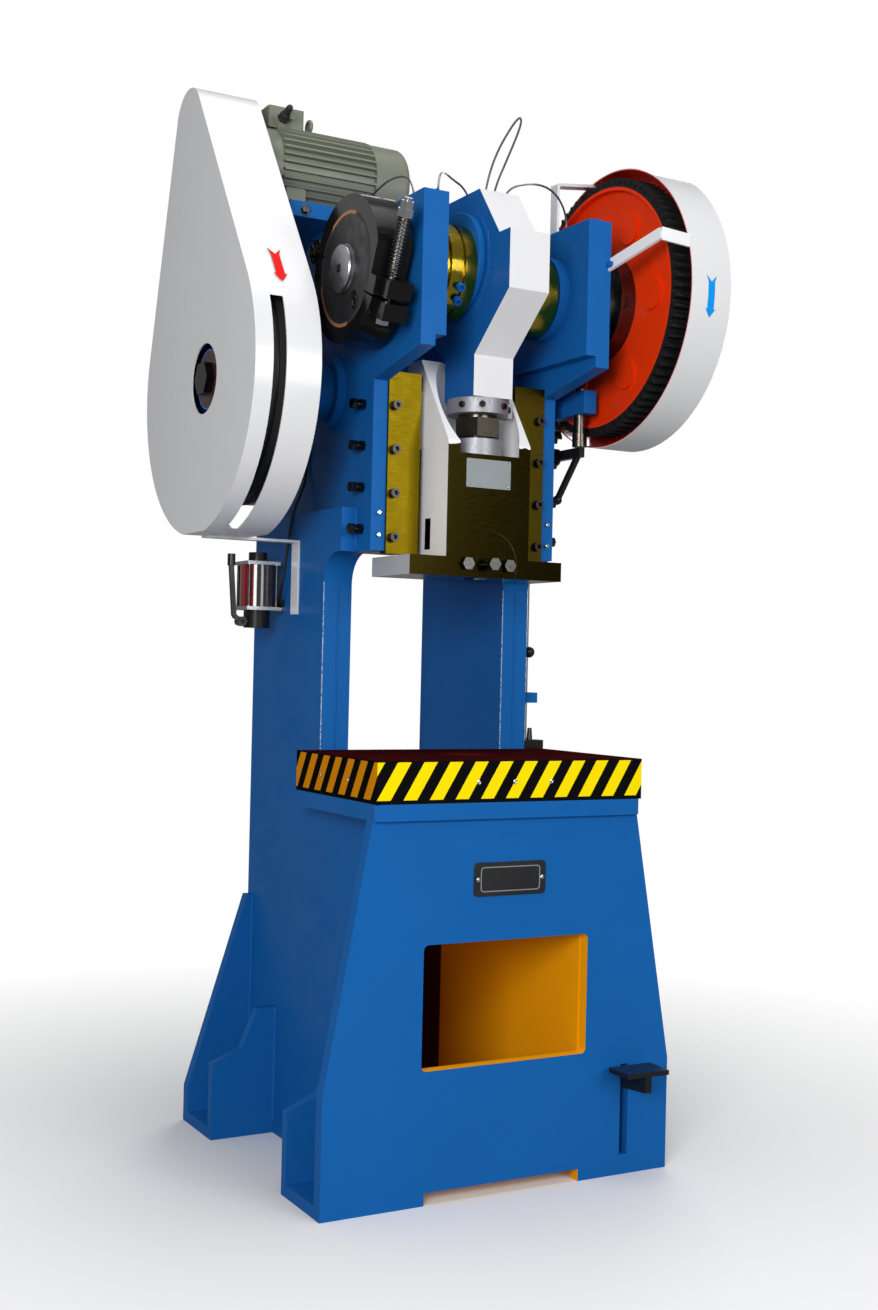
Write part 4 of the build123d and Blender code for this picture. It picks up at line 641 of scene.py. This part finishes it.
def blue_frame():
    """Blue outside, orange between the cheeks under the table with dark maroon painted shade at the back,
    paint worn off two column edges.
    """
    tree = enamel("blue", "blue_enamel", blue, **blue_gloss)
    x, y, z = axes(tree)
    inside = both(tree, between(tree, x, -inner_half, inner_half), between(tree, y, *inner_y_range))
    inside = both(tree, inside, between(tree, z, *inner_z_range))
    # Painted shade: dark maroon over the orange at the back between the cheeks, where the recess lies in
    # shadow.
    deep = both(tree, inside, more(tree, y, inner_shade_y))
    recolour(tree, inside, orange, scale=6.0, spread=0.06)
    recolour(tree, deep, painted_shade_maroon, scale=6.0, spread=0.15)
    height = between(tree, z, *column_range)
    edge_y = between(tree, y, column_front - wear_width, column_front + wear_width)
    left_edge = between(tree, x, -side_outer - wear_width, -side_outer + wear_width)
    right_edge = between(tree, x, cheek_inner - wear_width, cheek_inner + wear_width)
    worn = both(tree, both(tree, either(tree, left_edge, right_edge), edge_y), height)
    specks = more(tree, noise(tree, scale=380.0, detail=2.0), wear_share)
    recolour(tree, both(tree, worn, specks), worn_paint, scale=90.0, spread=0.1)


def pitman_paint():
    """Blue sides, white front edge with a brushed border."""
    tree = enamel("pitman", "pitman_enamel", blue, **blue_gloss)
    x = axes(tree)[0]
    normal_y = axes(tree, "Normal")[1]
    brushed = plus(tree, normal_y, remap(tree, noise(tree, scale=40.0), low=-0.05, high=0.05))
    middle = between(tree, x, -pitman_white_half, pitman_white_half)
    edge = both(tree, less(tree, brushed, pitman_white_normal), middle)
    recolour(tree, edge, white, scale=6.0, spread=0.03)


def gib_lacquer():
    """Yellow lacquer, darkened to brown on the right as a painted dark reflection."""
    tree = metal("lacquer", "gib_lacquer", olive, rough=0.34, stretch=(1, 1, 10), scale=40.0, cut=0.000003)
    # Painted reflection: the right gib plate is darkened to brown where it reflects dark surroundings.
    brown = more(tree, axes(tree)[0], 0.0)
    recolour(tree, brown, gib_dark_reflection, scale=6.0, spread=0.1)


def ram_paint():
    """White sides and horns made brighter as painted light, dark lacquered front, bare grey ends on the
    bottom plate.
    """
    tree = dark_lacquer("ram", "ram_lacquer")
    z = axes(tree)[2]
    normal = axes(tree, "Normal")
    wobble = remap(tree, noise(tree, scale=45.0), low=-0.0035, high=0.0035)
    not_front = opposite(tree, less(tree, normal[1], ram_front_normal))
    above_plate = more(tree, z, ram_plate_top)
    high = more(tree, plus(tree, z, wobble), ram_white_low)
    painted = both(tree, above_plate, either(tree, not_front, high))
    sideways = more(tree, math_node(tree, "ABSOLUTE", normal[0]), side_normal)
    ends = both(tree, opposite(tree, above_plate), sideways)
    recolour(tree, ends, bare_grey, scale=20.0, spread=0.1)
    # Painted light: the ram's white is brighter than the white elsewhere, to light its shaded left side.
    recolour(tree, painted, shade(white, share=1.19), scale=6.0, spread=0.02)
    put(tree, "Metallic", opposite(tree, either(tree, painted, ends)))


def hazard_table():
    """Diagonal black and yellow band on the edges, its yellow darkened to amber on the left as painted shade,
    dark red-brown top.
    """
    tree = new_material("hazard", "hazard_table")
    x, y, z = axes(tree)
    normal = axes(tree, "Normal")
    run = minus(tree, minus(tree, x, y), times(tree, z, stripe_lean_share))
    place = math_node(tree, "DIVIDE", run, stripe_pitch)
    cycle = math_node(tree, "FRACT", plus(tree, place, stripe_phase))
    stripe = both(tree, more(tree, cycle, stripe_black_share), between(tree, z, *stripe_range))
    yellow = mottled(tree, stripe_yellow, scale=25.0, spread=0.06)
    # Painted shade: the band's yellow is darkened to amber on the left-facing edge.
    amber = mottled(tree, stripe_shade_amber, scale=25.0, spread=0.08)
    on_left = less(tree, normal[0], -side_normal)
    band = mix(tree, stripe, shade(black, share=0.5), mix(tree, on_left, yellow, amber))
    edge_x = more(tree, math_node(tree, "ABSOLUTE", x), table_half - edge_skin)
    edge_y = opposite(tree, between(tree, y, table_front + edge_skin, column_front - edge_skin))
    top = opposite(tree, both(tree, either(tree, edge_x, edge_y), less(tree, normal[2], side_normal)))
    ground = mottled(tree, table_maroon, scale=14.0, spread=0.35)
    put(tree, "Base Color", mix(tree, top, band, ground))
    put(tree, "Specular IOR Level", 0.0)
    polish = noise(tree, scale=90.0, detail=3.0, stretch=(1, 12, 1))
    put(tree, "Roughness", remap(tree, polish, low=0.26, high=0.4))
    bump(tree, noise(tree, scale=140.0, detail=3.0, stretch=(1, 12, 1)), distance=0.00003)


def gear_paint():
    """Red web and pads, oily black teeth and rim, dark hub."""
    tree = enamel("gear", "gear_enamel", red, rough=0.3, coat=0.0, peel=0.0005, spread=0.1, gloss=0.08)
    radius = axis_radius(tree, axes(tree), crank_y, crank_z)
    dark = either(tree, more(tree, radius, gear_red_r), less(tree, radius, gear_hub_r))
    recolour(tree, dark, gear_black, scale=50.0, spread=0.35)


def guard_paint():
    """White sheet, red inside."""
    tree = enamel("gear_guard", "gear_guard_enamel", white, rough=0.2, coat=0.4, peel=0.00008, spread=0.02)
    place = axes(tree)
    within = less(tree, axis_radius(tree, place, crank_y, crank_z), gear_guard_inside_r)
    inside = both(tree, within, less(tree, place[0], gear_guard_end))
    recolour(tree, inside, shade(red, share=0.85), scale=8.0, spread=0.1)


def crank_finish():
    """Yellow lacquer on the crank, bare turned steel on the shaft end in the brake."""
    tree = rings("crank", "crank_lacquer", crank_yellow, rough=0.14)
    bare = less(tree, axes(tree)[0], brake_right)
    recolour(tree, bare, bare_steel, scale=11.0, spread=0.1)


def lining_material():
    """Woven lining, copper-coloured on a stretch towards the back and dark on the rest."""
    tree = new_material("lining", "woven_lining")
    place = axes(tree)
    tilt = radians(brake_tilt_deg)
    dy = minus(tree, place[1], crank_y)
    dz = minus(tree, place[2], crank_z)
    along = plus(tree, times(tree, dy, cos(tilt)), times(tree, dz, sin(tilt)))
    rise = plus(tree, times(tree, dy, -sin(tilt)), times(tree, dz, cos(tilt)))
    lower = opposite(tree, more(tree, rise, 0.0))
    start = either(tree, more(tree, along, 0.0), lower)
    rear = both(tree, start, between(tree, along, *lining_copper_range))
    weave = noise(tree, scale=420.0, detail=2.0, stretch=(1, 3, 1))
    clean = mix(tree, weave, *copper_shades)
    # Dark weave on the rest of the lining.
    oiled = mix(tree, weave, *lining_dark_shades)
    put(tree, "Base Color", mix(tree, rear, oiled, clean))
    put(tree, "Roughness", dull_rough)
    bump(tree, weave, distance=0.0004)


def reservoir_material():
    """Glossy smoke-dark plastic with a red band on one side."""
    tree = new_material("reservoir", "reservoir_plastic")
    place = axes(tree)
    across_x = times(tree, minus(tree, place[0], pump_x), band_across[0])
    across_y = times(tree, minus(tree, place[1], pump_y), band_across[1])
    banded = less(tree, minus(tree, across_x, across_y), band_edge)
    smoky = mix(tree, noise(tree, scale=60.0), *smoke_shades)
    band = mix(tree, noise(tree, scale=30.0), *band_shades)
    put(tree, "Base Color", mix(tree, banded, smoky, band))
    put(tree, "Roughness", remap(tree, noise(tree, scale=60.0), low=0.06, high=0.14))
    put(tree, "Coat Weight", 0.6)


def pump_material():
    """Grey cast flanges and dark rods between a black base and a black cap."""
    tree = metal("pump", "pump_casting", pump_grey, rough=0.36, stretch=(6, 6, 1), scale=120.0, cut=0.00005)
    x, _, z = axes(tree)
    base = both(tree, less(tree, z, pump_base_top), less(tree, x, pump_x + pump_base_reach))
    dark = either(tree, base, more(tree, z, pump_cap_low))
    rods = between(tree, z, *pump_rod_range)
    recolour(tree, rods, pump_rod_grey, scale=40.0, spread=0.2)
    recolour(tree, dark, black, scale=40.0, spread=0.25)
    put(tree, "Metallic", opposite(tree, dark))
    put(tree, "Specular IOR Level", 0.18)


def flywheel_paint():
    """Blue web, dark rim and rusty dark hub."""
    tree = enamel("flywheel", "flywheel_enamel", blue, rough=0.3, coat=0.05)
    radius = axis_radius(tree, axes(tree), shaft_y, shaft_z)
    hub = less(tree, radius, flywheel_hub_r)
    rim = more(tree, radius, flywheel_web_r)
    recolour(tree, hub, hub_rust, scale=30.0, spread=0.3)
    recolour(tree, rim, black, scale=30.0, spread=0.3)


def rubber_material():
    """Dull black rubber of the belts, the hose and the gland."""
    tree = new_material("rubber", "belt_rubber")
    grain = noise(tree, scale=300.0, detail=3.0)
    put(tree, "Base Color", mix(tree, grain, *rubber_shades))
    put(tree, "Roughness", dull_rough)
    bump(tree, grain, distance=0.0002)


def make_materials():
    for make in (blue_frame, pitman_paint, gib_lacquer, ram_paint, hazard_table, gear_paint, guard_paint,
                 crank_finish, lining_material, reservoir_material, pump_material, flywheel_paint,
                 rubber_material):
        make()
    dark_lacquer("dark_lacquer", "clamp_lacquer")
    for maker, table in ((enamel, plain_enamels), (metal, plain_metals), (rings, turned_metals)):
        for key, values in table.items():
            maker(key, *values)


def dress_nodes():
    for name, members in node_materials.items():
        for node in members:
            mesh = nodes[node].data
            mesh.materials.clear()
            mesh.materials.append(materials[name])


# Mesh pieces

def new_object(name, data):
    item = bpy.data.objects.new(name, data)
    bpy.context.scene.collection.objects.link(item)
    return item


def circle(centre, side, other, radius, steps):
    """Points round a centre in the plane of two directions."""
    points = []
    for index in range(steps):
        angle = 2 * pi * index / steps
        points.append(centre + (side * cos(angle) + other * sin(angle)) * radius)
    return points


class Shape:
    """Collects rings, plates and tubes into one mesh."""

    def __init__(self):
        self.mesh = bmesh.new()

    def skin(self, loops, loop_back=False):
        """Joins neighbouring point rings by faces, and gives back their vertices."""
        made = [[self.mesh.verts.new(point) for point in loop] for loop in loops]
        pairs = list(zip(made, made[1:]))
        if loop_back:
            pairs.append((made[-1], made[0]))
        for low, high in pairs:
            count = len(low)
            for index in range(count):
                after = (index + 1) % count
                self.mesh.faces.new((low[index], low[after], high[after], high[index]))
        return made

    def ring_stack(self, loops, closed_ends=True, loop_back=False):
        """Skins a list of point rings that all have the same count."""
        made = self.skin(loops, loop_back)
        if closed_ends and not loop_back:
            self.mesh.faces.new(list(reversed(made[0])))
            self.mesh.faces.new(made[-1])
        return self

    def band(self, loops):
        """Skins flat rings that have as many points on the way back as on the way out."""
        made = self.skin(loops)
        for ring in (made[0], made[-1]):
            count = len(ring)
            for index in range(count // 2 - 1):
                self.mesh.faces.new((ring[index], ring[index + 1], ring[count - 2 - index],
                                     ring[count - 1 - index]))
        return self

    def lathe(self, profile, centre, axis, steps, hollow=False):
        """Turns (radius, height) points about an axis from the centre; a hollow profile closes on itself."""
        axis = Vector(axis).normalized()
        side = axis.orthogonal().normalized()
        other = axis.cross(side)
        loops = []
        for radius, height in profile:
            loops.append(circle(Vector(centre) + axis * height, side, other, radius, steps))
        return self.ring_stack(loops, not hollow, hollow)

    def hexagon(self, centre, axis, radius, high, washer_r=0.0, washer_high=0.0):
        """Hexagon head with a turned crown, on a washer if that has a size."""
        if washer_r:
            edge = washer_high * washer_edge_share
            self.lathe([(washer_r - edge, 0), (washer_r, edge), (washer_r, washer_high - edge),
                        (washer_r - edge, washer_high)], centre, axis, washer_steps)
        base = Vector(centre) + Vector(axis).normalized() * washer_high
        crown = high * crown_share
        return self.lathe([(radius * hexagon_foot_share, 0), (radius, crown), (radius, high - crown),
                           (radius * hexagon_top_share, high)], base, axis, hexagon_steps)

    def cap_screw(self, centre, axis, radius, high):
        """Cylinder head with a socket."""
        edge = radius * cap_edge_share
        socket = radius * socket_share
        return self.lathe([(radius, 0), (radius, high - edge), (radius - edge, high), (socket, high),
                           (socket * socket_foot_share, high * socket_floor_share)], centre, axis, head_steps)

    def plate(self, outline, centre, depth, bevel):
        """Plate that faces the front, with a flat outline in x and z and a bevelled front edge."""
        middle = Vector((sum(p[0] for p in outline), sum(p[1] for p in outline))) / len(outline)
        loops = []
        for height, inset in ((0, 0), (depth - bevel, 0), (depth, bevel)):
            loop = []
            for point in outline:
                offset = Vector(point) - middle
                flat = middle + offset * (1 - inset / offset.length)
                loop.append(Vector(centre) + Vector((flat.x, -height, flat.y)))
            loops.append(loop)
        return self.ring_stack(loops)

    def tube(self, points, radius, steps):
        """Round bar along a list of points."""
        points = [Vector(point) for point in points]
        loops = []
        side = None
        for index, point in enumerate(points):
            before = points[max(index - 1, 0)]
            after = points[min(index + 1, len(points) - 1)]
            axis = (after - before).normalized()
            if side is None:
                side = axis.orthogonal().normalized()
            side = (side - axis * side.dot(axis)).normalized()
            loops.append(circle(point, side, axis.cross(side), radius, steps))
        return self.ring_stack(loops)

    def bead(self, start, end, radius=weld_r, pitch=weld_pitch):
        """Weld bead of overlapping scallops from start to end."""
        start = Vector(start)
        run = Vector(end) - start
        count = max(int(run.length / pitch), 2) * bead_rows
        axis = run.normalized()
        side = axis.orthogonal().normalized()
        other = axis.cross(side)
        loops = []
        for index in range(count + 1):
            wave = 1 - bead_wave_share + bead_wave_share * sin(2 * pi * index / bead_rows)
            taper = min(1.0, (min(index, count - index) + 1) / bead_taper_rows)
            size = radius * wave * (1 + taper) / 2
            loops.append(circle(start + run * (index / count), side, other, size, bead_points))
        return self.ring_stack(loops)

    def piece(self, name, material, body, slot, smooth_deg=35.0):
        """Makes the mesh an object of the scene, which rides on a body if one is named."""
        mesh = bpy.data.meshes.new(name)
        bmesh.ops.recalc_face_normals(self.mesh, faces=self.mesh.faces)
        self.mesh.to_mesh(mesh)
        self.mesh.free()
        mesh.materials.append(materials[material])
        mesh.shade_smooth()
        mesh.set_sharp_from_angle(angle=radians(smooth_deg))
        item = new_object(name, mesh)
        if body:
            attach(item, body)
        return item


def rounded(width, high, corner, steps=6):
    """Outline of a rounded rectangle about the origin."""
    points = []
    for index, (sx, sy) in enumerate(corner_signs):
        for step in range(steps + 1):
            angle = pi / 2 * (index + step / steps)
            points.append((sx * (width / 2 - corner) + corner * cos(angle),
                           sy * (high / 2 - corner) + corner * sin(angle)))
    return points


def spline(points, resolution=14):
    """Points of a smooth line that has the given points as its control points."""
    curve = bpy.data.curves.new("route", "CURVE")
    curve.dimensions = "3D"
    curve.resolution_u = resolution
    line = curve.splines.new("NURBS")
    line.points.add(len(points) - 1)
    for target, point in zip(line.points, points):
        target.co = (*point, 1)
    line.order_u = 3
    line.use_endpoint_u = True
    holder = new_object("route", curve)
    mesh = bpy.data.meshes.new_from_object(holder)
    route = [vertex.co.copy() for vertex in mesh.vertices]
    bpy.data.objects.remove(holder)
    bpy.data.meshes.remove(mesh)
    bpy.data.curves.remove(curve)
    return route


def front_plate_pieces():
    """Bare black name plate with a raised grey border and two screws."""
    centre = Vector(base_plate_centre)
    plate = Shape().plate(rounded(*base_plate_outline), centre, base_plate_thick, base_plate_edge)
    plate.piece("base_name_plate", "plate_black", "frame", "black_enamel")
    outer = rounded(*border_outline)
    inner = rounded(*border_inner_outline)
    loops = []
    section = ((outer, border_low), (outer, border_top), (inner, border_top), (inner, border_low))
    for outline, depth in section:
        loops.append([centre + Vector((px, -depth, pz)) for px, pz in outline])
    border = Shape().ring_stack(loops, closed_ends=False, loop_back=True)
    border.piece("base_plate_border", "plate_metal", "frame", "steel")
    screws = Shape()
    for x in (-base_screw_x, base_screw_x):
        place = centre + Vector((x, -base_plate_thick, 0))
        screws.lathe(base_screw_profile, place, to_front, screw_steps)
    screws.piece("base_plate_screws", "bright", "frame", "steel")


def ram_plate_pieces():
    """Bare metal plate with four rivets on the front of the ram."""
    centre = Vector(ram_plate_centre)
    plate = Shape().plate(rounded(*ram_plate_outline), centre, ram_plate_thick, ram_plate_edge)
    plate.piece("ram_name_plate", "plate_metal", "slide", "steel")
    rivets = Shape()
    for x in (-rivet_x, rivet_x):
        for z in (-rivet_z, rivet_z):
            rivets.lathe(rivet_profile, centre + Vector((x, -ram_plate_thick, z)), to_front, rivet_steps)
    rivets.piece("ram_plate_rivets", "bright", "slide", "steel")


def table_pieces():
    """Grub screws in the band on the table's edges."""
    screws = Shape()
    for x in table_front_screw_xs:
        screws.lathe(table_screw_profile, (x, table_front, table_front_screw_z), to_front, screw_steps)
    for y, z in table_side_screws:
        screws.lathe(table_screw_profile, (-table_half, y, z), to_left, screw_steps)
    screws.piece("table_edge_screws", "bright", "frame", "steel")


def guard_bar_pieces():
    """Painted bolt in the root of the gear guard's front bar."""
    bolt = Shape().lathe(guard_bolt_profile, guard_bolt_place, guard_bolt_axis, bolt_steps)
    bolt.piece("guard_bar_bolt", "blue", "frame", "blue_enamel")


def guide_pieces():
    """Two dowel pins in the front of each guide cheek."""
    pins = Shape()
    for side in (-1, 1):
        for z in guide_pin_zs:
            pins.lathe(guide_pin_profile, (side * guide_pin_x, guide_front, z), to_front, screw_steps)
    pins.piece("guide_front_pins", "bright", "frame", "steel")


def motor_pieces():
    """Bolts in the motor plate's front edge, and the gland on the terminal box."""
    bolts = Shape()
    for x in motor_bolt_xs:
        bolts.hexagon((x, motor_plate_front, motor_bolt_z), to_front, *motor_bolt_sizes)
    bolts.piece("motor_plate_bolts", "dark", "frame", "dark_steel")
    gland = Shape().hexagon(gland_place, gland_direction, *gland_hexagon_sizes)
    gland.lathe(gland_profile, gland_place, gland_direction, head_steps)
    gland.piece("terminal_gland", "rubber", "frame", "black_enamel")


def weld_pieces():
    """Painted weld beads where the frame's plates meet."""
    beads = Shape()
    for side in (-1, 1):
        for x, start, end, *sizes in side_welds:
            beads.bead((side * x, *start), (side * x, *end), *sizes)
    front_start = (-weld_front_half, base_front, weld_front_z)
    beads.bead(front_start, (weld_front_half, *front_start[1:]), weld_front_r)
    beads.piece("weld_beads", "blue", "frame", "blue_enamel", smooth_deg=60.0)


def brake_point(u, v, x):
    """Point of the brake, u along its split towards the back and v square to it."""
    tilt = radians(brake_tilt_deg)
    return Vector((x, crank_y + u * cos(tilt) - v * sin(tilt),
                   crank_z + u * sin(tilt) + v * cos(tilt)))


def brake_pieces():
    """Flat shaft end with a square centre, drum plug and hinge nut."""
    end = Shape().lathe(shaft_end_profile, (brake_left, crank_y, crank_z), to_left, shaft_end_steps)
    end.piece("brake_shaft_end", "turned", "crank", "steel", smooth_deg=20.0)
    square = Shape().lathe(shaft_square_profile, (shaft_square_x, crank_y, crank_z), to_left, square_steps)
    square.piece("brake_shaft_square", "dark", "crank", "dark_steel")
    plug = Shape().lathe(drum_plug_profile, drum_plug_place, to_left, plug_steps)
    plug.piece("brake_drum_plug", "dark", "crank", "dark_steel")
    nut = Shape().hexagon(brake_point(brake_pin_u, 0, brake_left), to_left, *brake_nut_sizes)
    nut.piece("brake_pin_nut", "dark", "frame", "dark_steel")


def spring_pieces():
    """Coil spring on the brake bolt, with closed end turns."""
    coil = []
    rise = spring_high - spring_low - 2 * spring_wire_r
    for index in range(spring_turns * spring_steps + 1):
        turn = index / spring_steps
        share = min(max((turn - 1) / (spring_turns - 2), 0.0), 1.0)
        lift = 2 * spring_wire_r * (min(turn, 1.0) + max(turn - spring_turns + 1, 0.0))
        height = spring_low + spring_wire_r + lift + (rise - 4 * spring_wire_r) * share
        angle = 2 * pi * turn
        coil.append(brake_point(spring_u + spring_r * cos(angle), height,
                                spring_x + spring_r * sin(angle)))
    wire = Shape().tube(coil, spring_wire_r, tube_steps)
    spring = wire.piece("brake_coil_spring", "spring", "lower_brake", "dark_steel")
    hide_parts("brake_spring")
    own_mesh(spring)


def crank_pieces():
    """Blue flange on the crank pin beside the pitman, and two lug bolts in the stroke sleeve."""
    inset = flange_r - flange_edge
    profile = ((flange_bore_r, 0), (inset, 0), (flange_r, flange_edge),
               (flange_r, flange_thick - flange_edge), (inset, flange_thick), (flange_bore_r, flange_thick))
    flange = Shape().lathe(profile, (flange_left, crank_y, crank_pin_z), right, flange_steps, hollow=True)
    flange.piece("eccentric_flange", "blue", "crank", "blue_enamel")
    lugs = Shape()
    for x, angle_deg in lug_places:
        angle = radians(angle_deg)
        out = Vector((0, cos(angle), sin(angle)))
        lugs.lathe(lug_profile, Vector((x, crank_y, sleeve_z)) + out * (sleeve_r - lug_sink), out, bolt_steps)
    lugs.piece("sleeve_lug_bolts", "blue", "crank", "blue_enamel")


def clamp_pieces():
    """Cap screws round the clamp ring under the pitman."""
    screws = Shape()
    for angle_deg in clamp_screw_degs:
        angle = radians(angle_deg)
        out = Vector((cos(angle), sin(angle), 0))
        spot = Vector((0, crank_y, clamp_screw_z)) + out * clamp_ring_r
        screws.cap_screw(spot, out, clamp_screw_r, clamp_screw_high)
    screws.piece("clamp_ring_screws", "dark", "slide", "dark_steel")


def arrow_rows(long, wide, head_long, head_wide, notch):
    """Rows of three points across an arrow, from its tip to its notched tail."""
    low = -long / 2
    neck = low + head_long
    tail = long / 2 - head_long * arrow_tail_share
    rows = [[(-arrow_tip_half, low), (0, low), (arrow_tip_half, low)],
            [(-head_wide / 2, neck), (0, neck), (head_wide / 2, neck)]]
    for index in range(arrow_steps + 1):
        along = neck + (tail - neck) * index / arrow_steps
        rows.append([(-wide / 2, along), (0, along), (wide / 2, along)])
    rows.append([(-head_wide / 2, long / 2), (0, long / 2 - notch), (head_wide / 2, long / 2)])
    return rows


def on_gear_guard(across, along):
    """Point and outward direction on the rim of the gear guard."""
    angle = radians(gear_arrow_deg) - along / gear_guard_r
    out = Vector((0, cos(angle), sin(angle)))
    return Vector(gear_guard_centre) + right * across + out * gear_guard_r, out


def on_belt_guard(across, along):
    """Point and outward direction on the belt guard's front, straight above the tangent and round below."""
    along = along + belt_arrow_shift
    angle = radians(belt_tangent_deg) - min(along, 0.0) / belt_guard_r
    out = Vector((0, cos(angle), sin(angle)))
    straight = Vector((0, sin(angle), -cos(angle))) * max(along, 0.0)
    return Vector(belt_guard_centre) + right * across + out * belt_guard_r + straight, out


def arrow_pieces():
    """Plain turning arrows bent onto the rims of the two guards."""
    for name, material, surface, sizes in (("gear_guard_arrow", "arrow_blue", on_gear_guard, gear_arrow),
                                           ("belt_guard_arrow", "arrow_red", on_belt_guard, belt_arrow)):
        loops = []
        for row in arrow_rows(*sizes):
            spots = [surface(across, along) for across, along in row]
            low = [point - out * arrow_sink for point, out in spots]
            high = [point + out * arrow_lift for point, out in spots]
            loops.append(low + high[::-1])
        Shape().band(loops).piece(name, material, "frame", "white_enamel")


def oil_tube(name, route):
    return Shape().tube(spline(route), tube_r, tube_steps).piece(name, "tube", None, "steel")


def oil_tube_pieces():
    """Pump hose with its union, and thin oil tubes over the head."""
    hose = Shape().tube(spline(pump_hose_route), hose_r, hose_steps)
    hose.piece("pump_oil_hose", "rubber", "frame", "black_enamel")
    union = Shape().hexagon(Vector(union_place) - up * union_sink, up, *union_sizes)
    union.piece("oil_line_union", "steel", "frame", "steel")
    left = oil_tube("left_head_oil_tube", left_head_route)
    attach(left, "frame")
    loop = oil_tube("pitman_oil_loop", pitman_loop_route)
    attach(loop, "slide")
    to_pitman = oil_tube("left_pitman_oil_tube", left_pitman_route)
    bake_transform(to_pitman)
    to_right = oil_tube("right_pitman_oil_tube", right_pitman_route)
    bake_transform(to_right)


def scene_pieces():
    for make in (front_plate_pieces, ram_plate_pieces, table_pieces, guard_bar_pieces, guide_pieces,
                 motor_pieces, weld_pieces, brake_pieces, spring_pieces, crank_pieces, clamp_pieces,
                 arrow_pieces, oil_tube_pieces):
        make()


# Studio

def area_light(name, place, aim, size, power):
    data = bpy.data.lights.new(name, "AREA")
    data.shape = "RECTANGLE"
    data.size, data.size_y = size
    data.energy = power
    item = new_object(name, data)
    item.location = place
    item.rotation_euler = (Vector(aim) - Vector(place)).to_track_quat("-Z", "Y").to_euler()


def pale_floor():
    """White floor that fades out far from the machine, and throws back less light than it shows."""
    corners = [(sx * floor_far, sy * floor_far, 0) for sx, sy in corner_signs]
    mesh = bpy.data.meshes.new("floor")
    mesh.from_pydata(corners, [], [(0, 1, 2, 3)])
    floor = new_object("floor", mesh)
    tree = new_material("floor", "floor_pale")
    path = add(tree, "ShaderNodeLightPath")
    seen = mottled(tree, floor_white, scale=0.6, spread=0.01)
    put(tree, "Base Color", mix(tree, path.outputs["Is Camera Ray"], floor_bounce, seen))
    put(tree, "Roughness", floor_rough)
    put(tree, "Specular IOR Level", 0.0)
    away = add(tree, "ShaderNodeVectorMath", operation="LENGTH")
    feed(tree, away, 0, coords(tree))
    clear = add(tree, "ShaderNodeBsdfTransparent")
    blend = add(tree, "ShaderNodeMixShader")
    feed(tree, blend, 0, map_range(tree, away.outputs["Value"], floor_fade))
    feed(tree, blend, 1, find(tree, "BSDF_PRINCIPLED").outputs[0])
    feed(tree, blend, 2, clear.outputs[0])
    feed(tree, find(tree, "OUTPUT_MATERIAL"), "Surface", blend.outputs[0])
    mesh.materials.append(materials["floor"])


def pale_world():
    """White behind the machine, with a softer grey as its ambient light."""
    world = bpy.data.worlds.new("studio")
    bpy.context.scene.world = world
    world.use_nodes = True
    tree = world.node_tree
    soft = find(tree, "BACKGROUND")
    feed(tree, soft, "Color", ambient_color)
    feed(tree, soft, "Strength", ambient_strength)
    seen = add(tree, "ShaderNodeBackground")
    feed(tree, seen, "Color", backdrop_color)
    path = add(tree, "ShaderNodeLightPath")
    choose = add(tree, "ShaderNodeMixShader")
    feed(tree, choose, 0, path.outputs["Is Camera Ray"])
    feed(tree, choose, 1, soft.outputs[0])
    feed(tree, choose, 2, seen.outputs[0])
    feed(tree, find(tree, "OUTPUT_WORLD"), "Surface", choose.outputs[0])


def studio():
    bpy.context.scene.view_settings.view_transform = "Standard"
    pale_floor()
    pale_world()
    for name, values in lights.items():
        area_light(name, *values)


def camera():
    yaw = radians(camera_yaw_deg)
    pitch = radians(camera_pitch_deg)
    roll = radians(camera_roll_deg)
    forward = Vector((sin(yaw) * cos(pitch), cos(yaw) * cos(pitch), sin(pitch)))
    side = Vector((cos(yaw), -sin(yaw), 0))
    top = side.cross(forward)
    across = side * cos(roll) - top * sin(roll)
    upward = top * cos(roll) + side * sin(roll)
    data = bpy.data.cameras.new("camera")
    data.lens = camera_lens
    data.sensor_width = camera_sensor
    data.clip_end = camera_clip
    item = new_object("camera", data)
    turn = Matrix((across, upward, -forward)).transposed().to_4x4()
    item.matrix_world = Matrix.Translation(camera_place) @ turn
    bpy.context.scene.camera = item


make_materials()
dress_nodes()
scene_pieces()
studio()
camera()
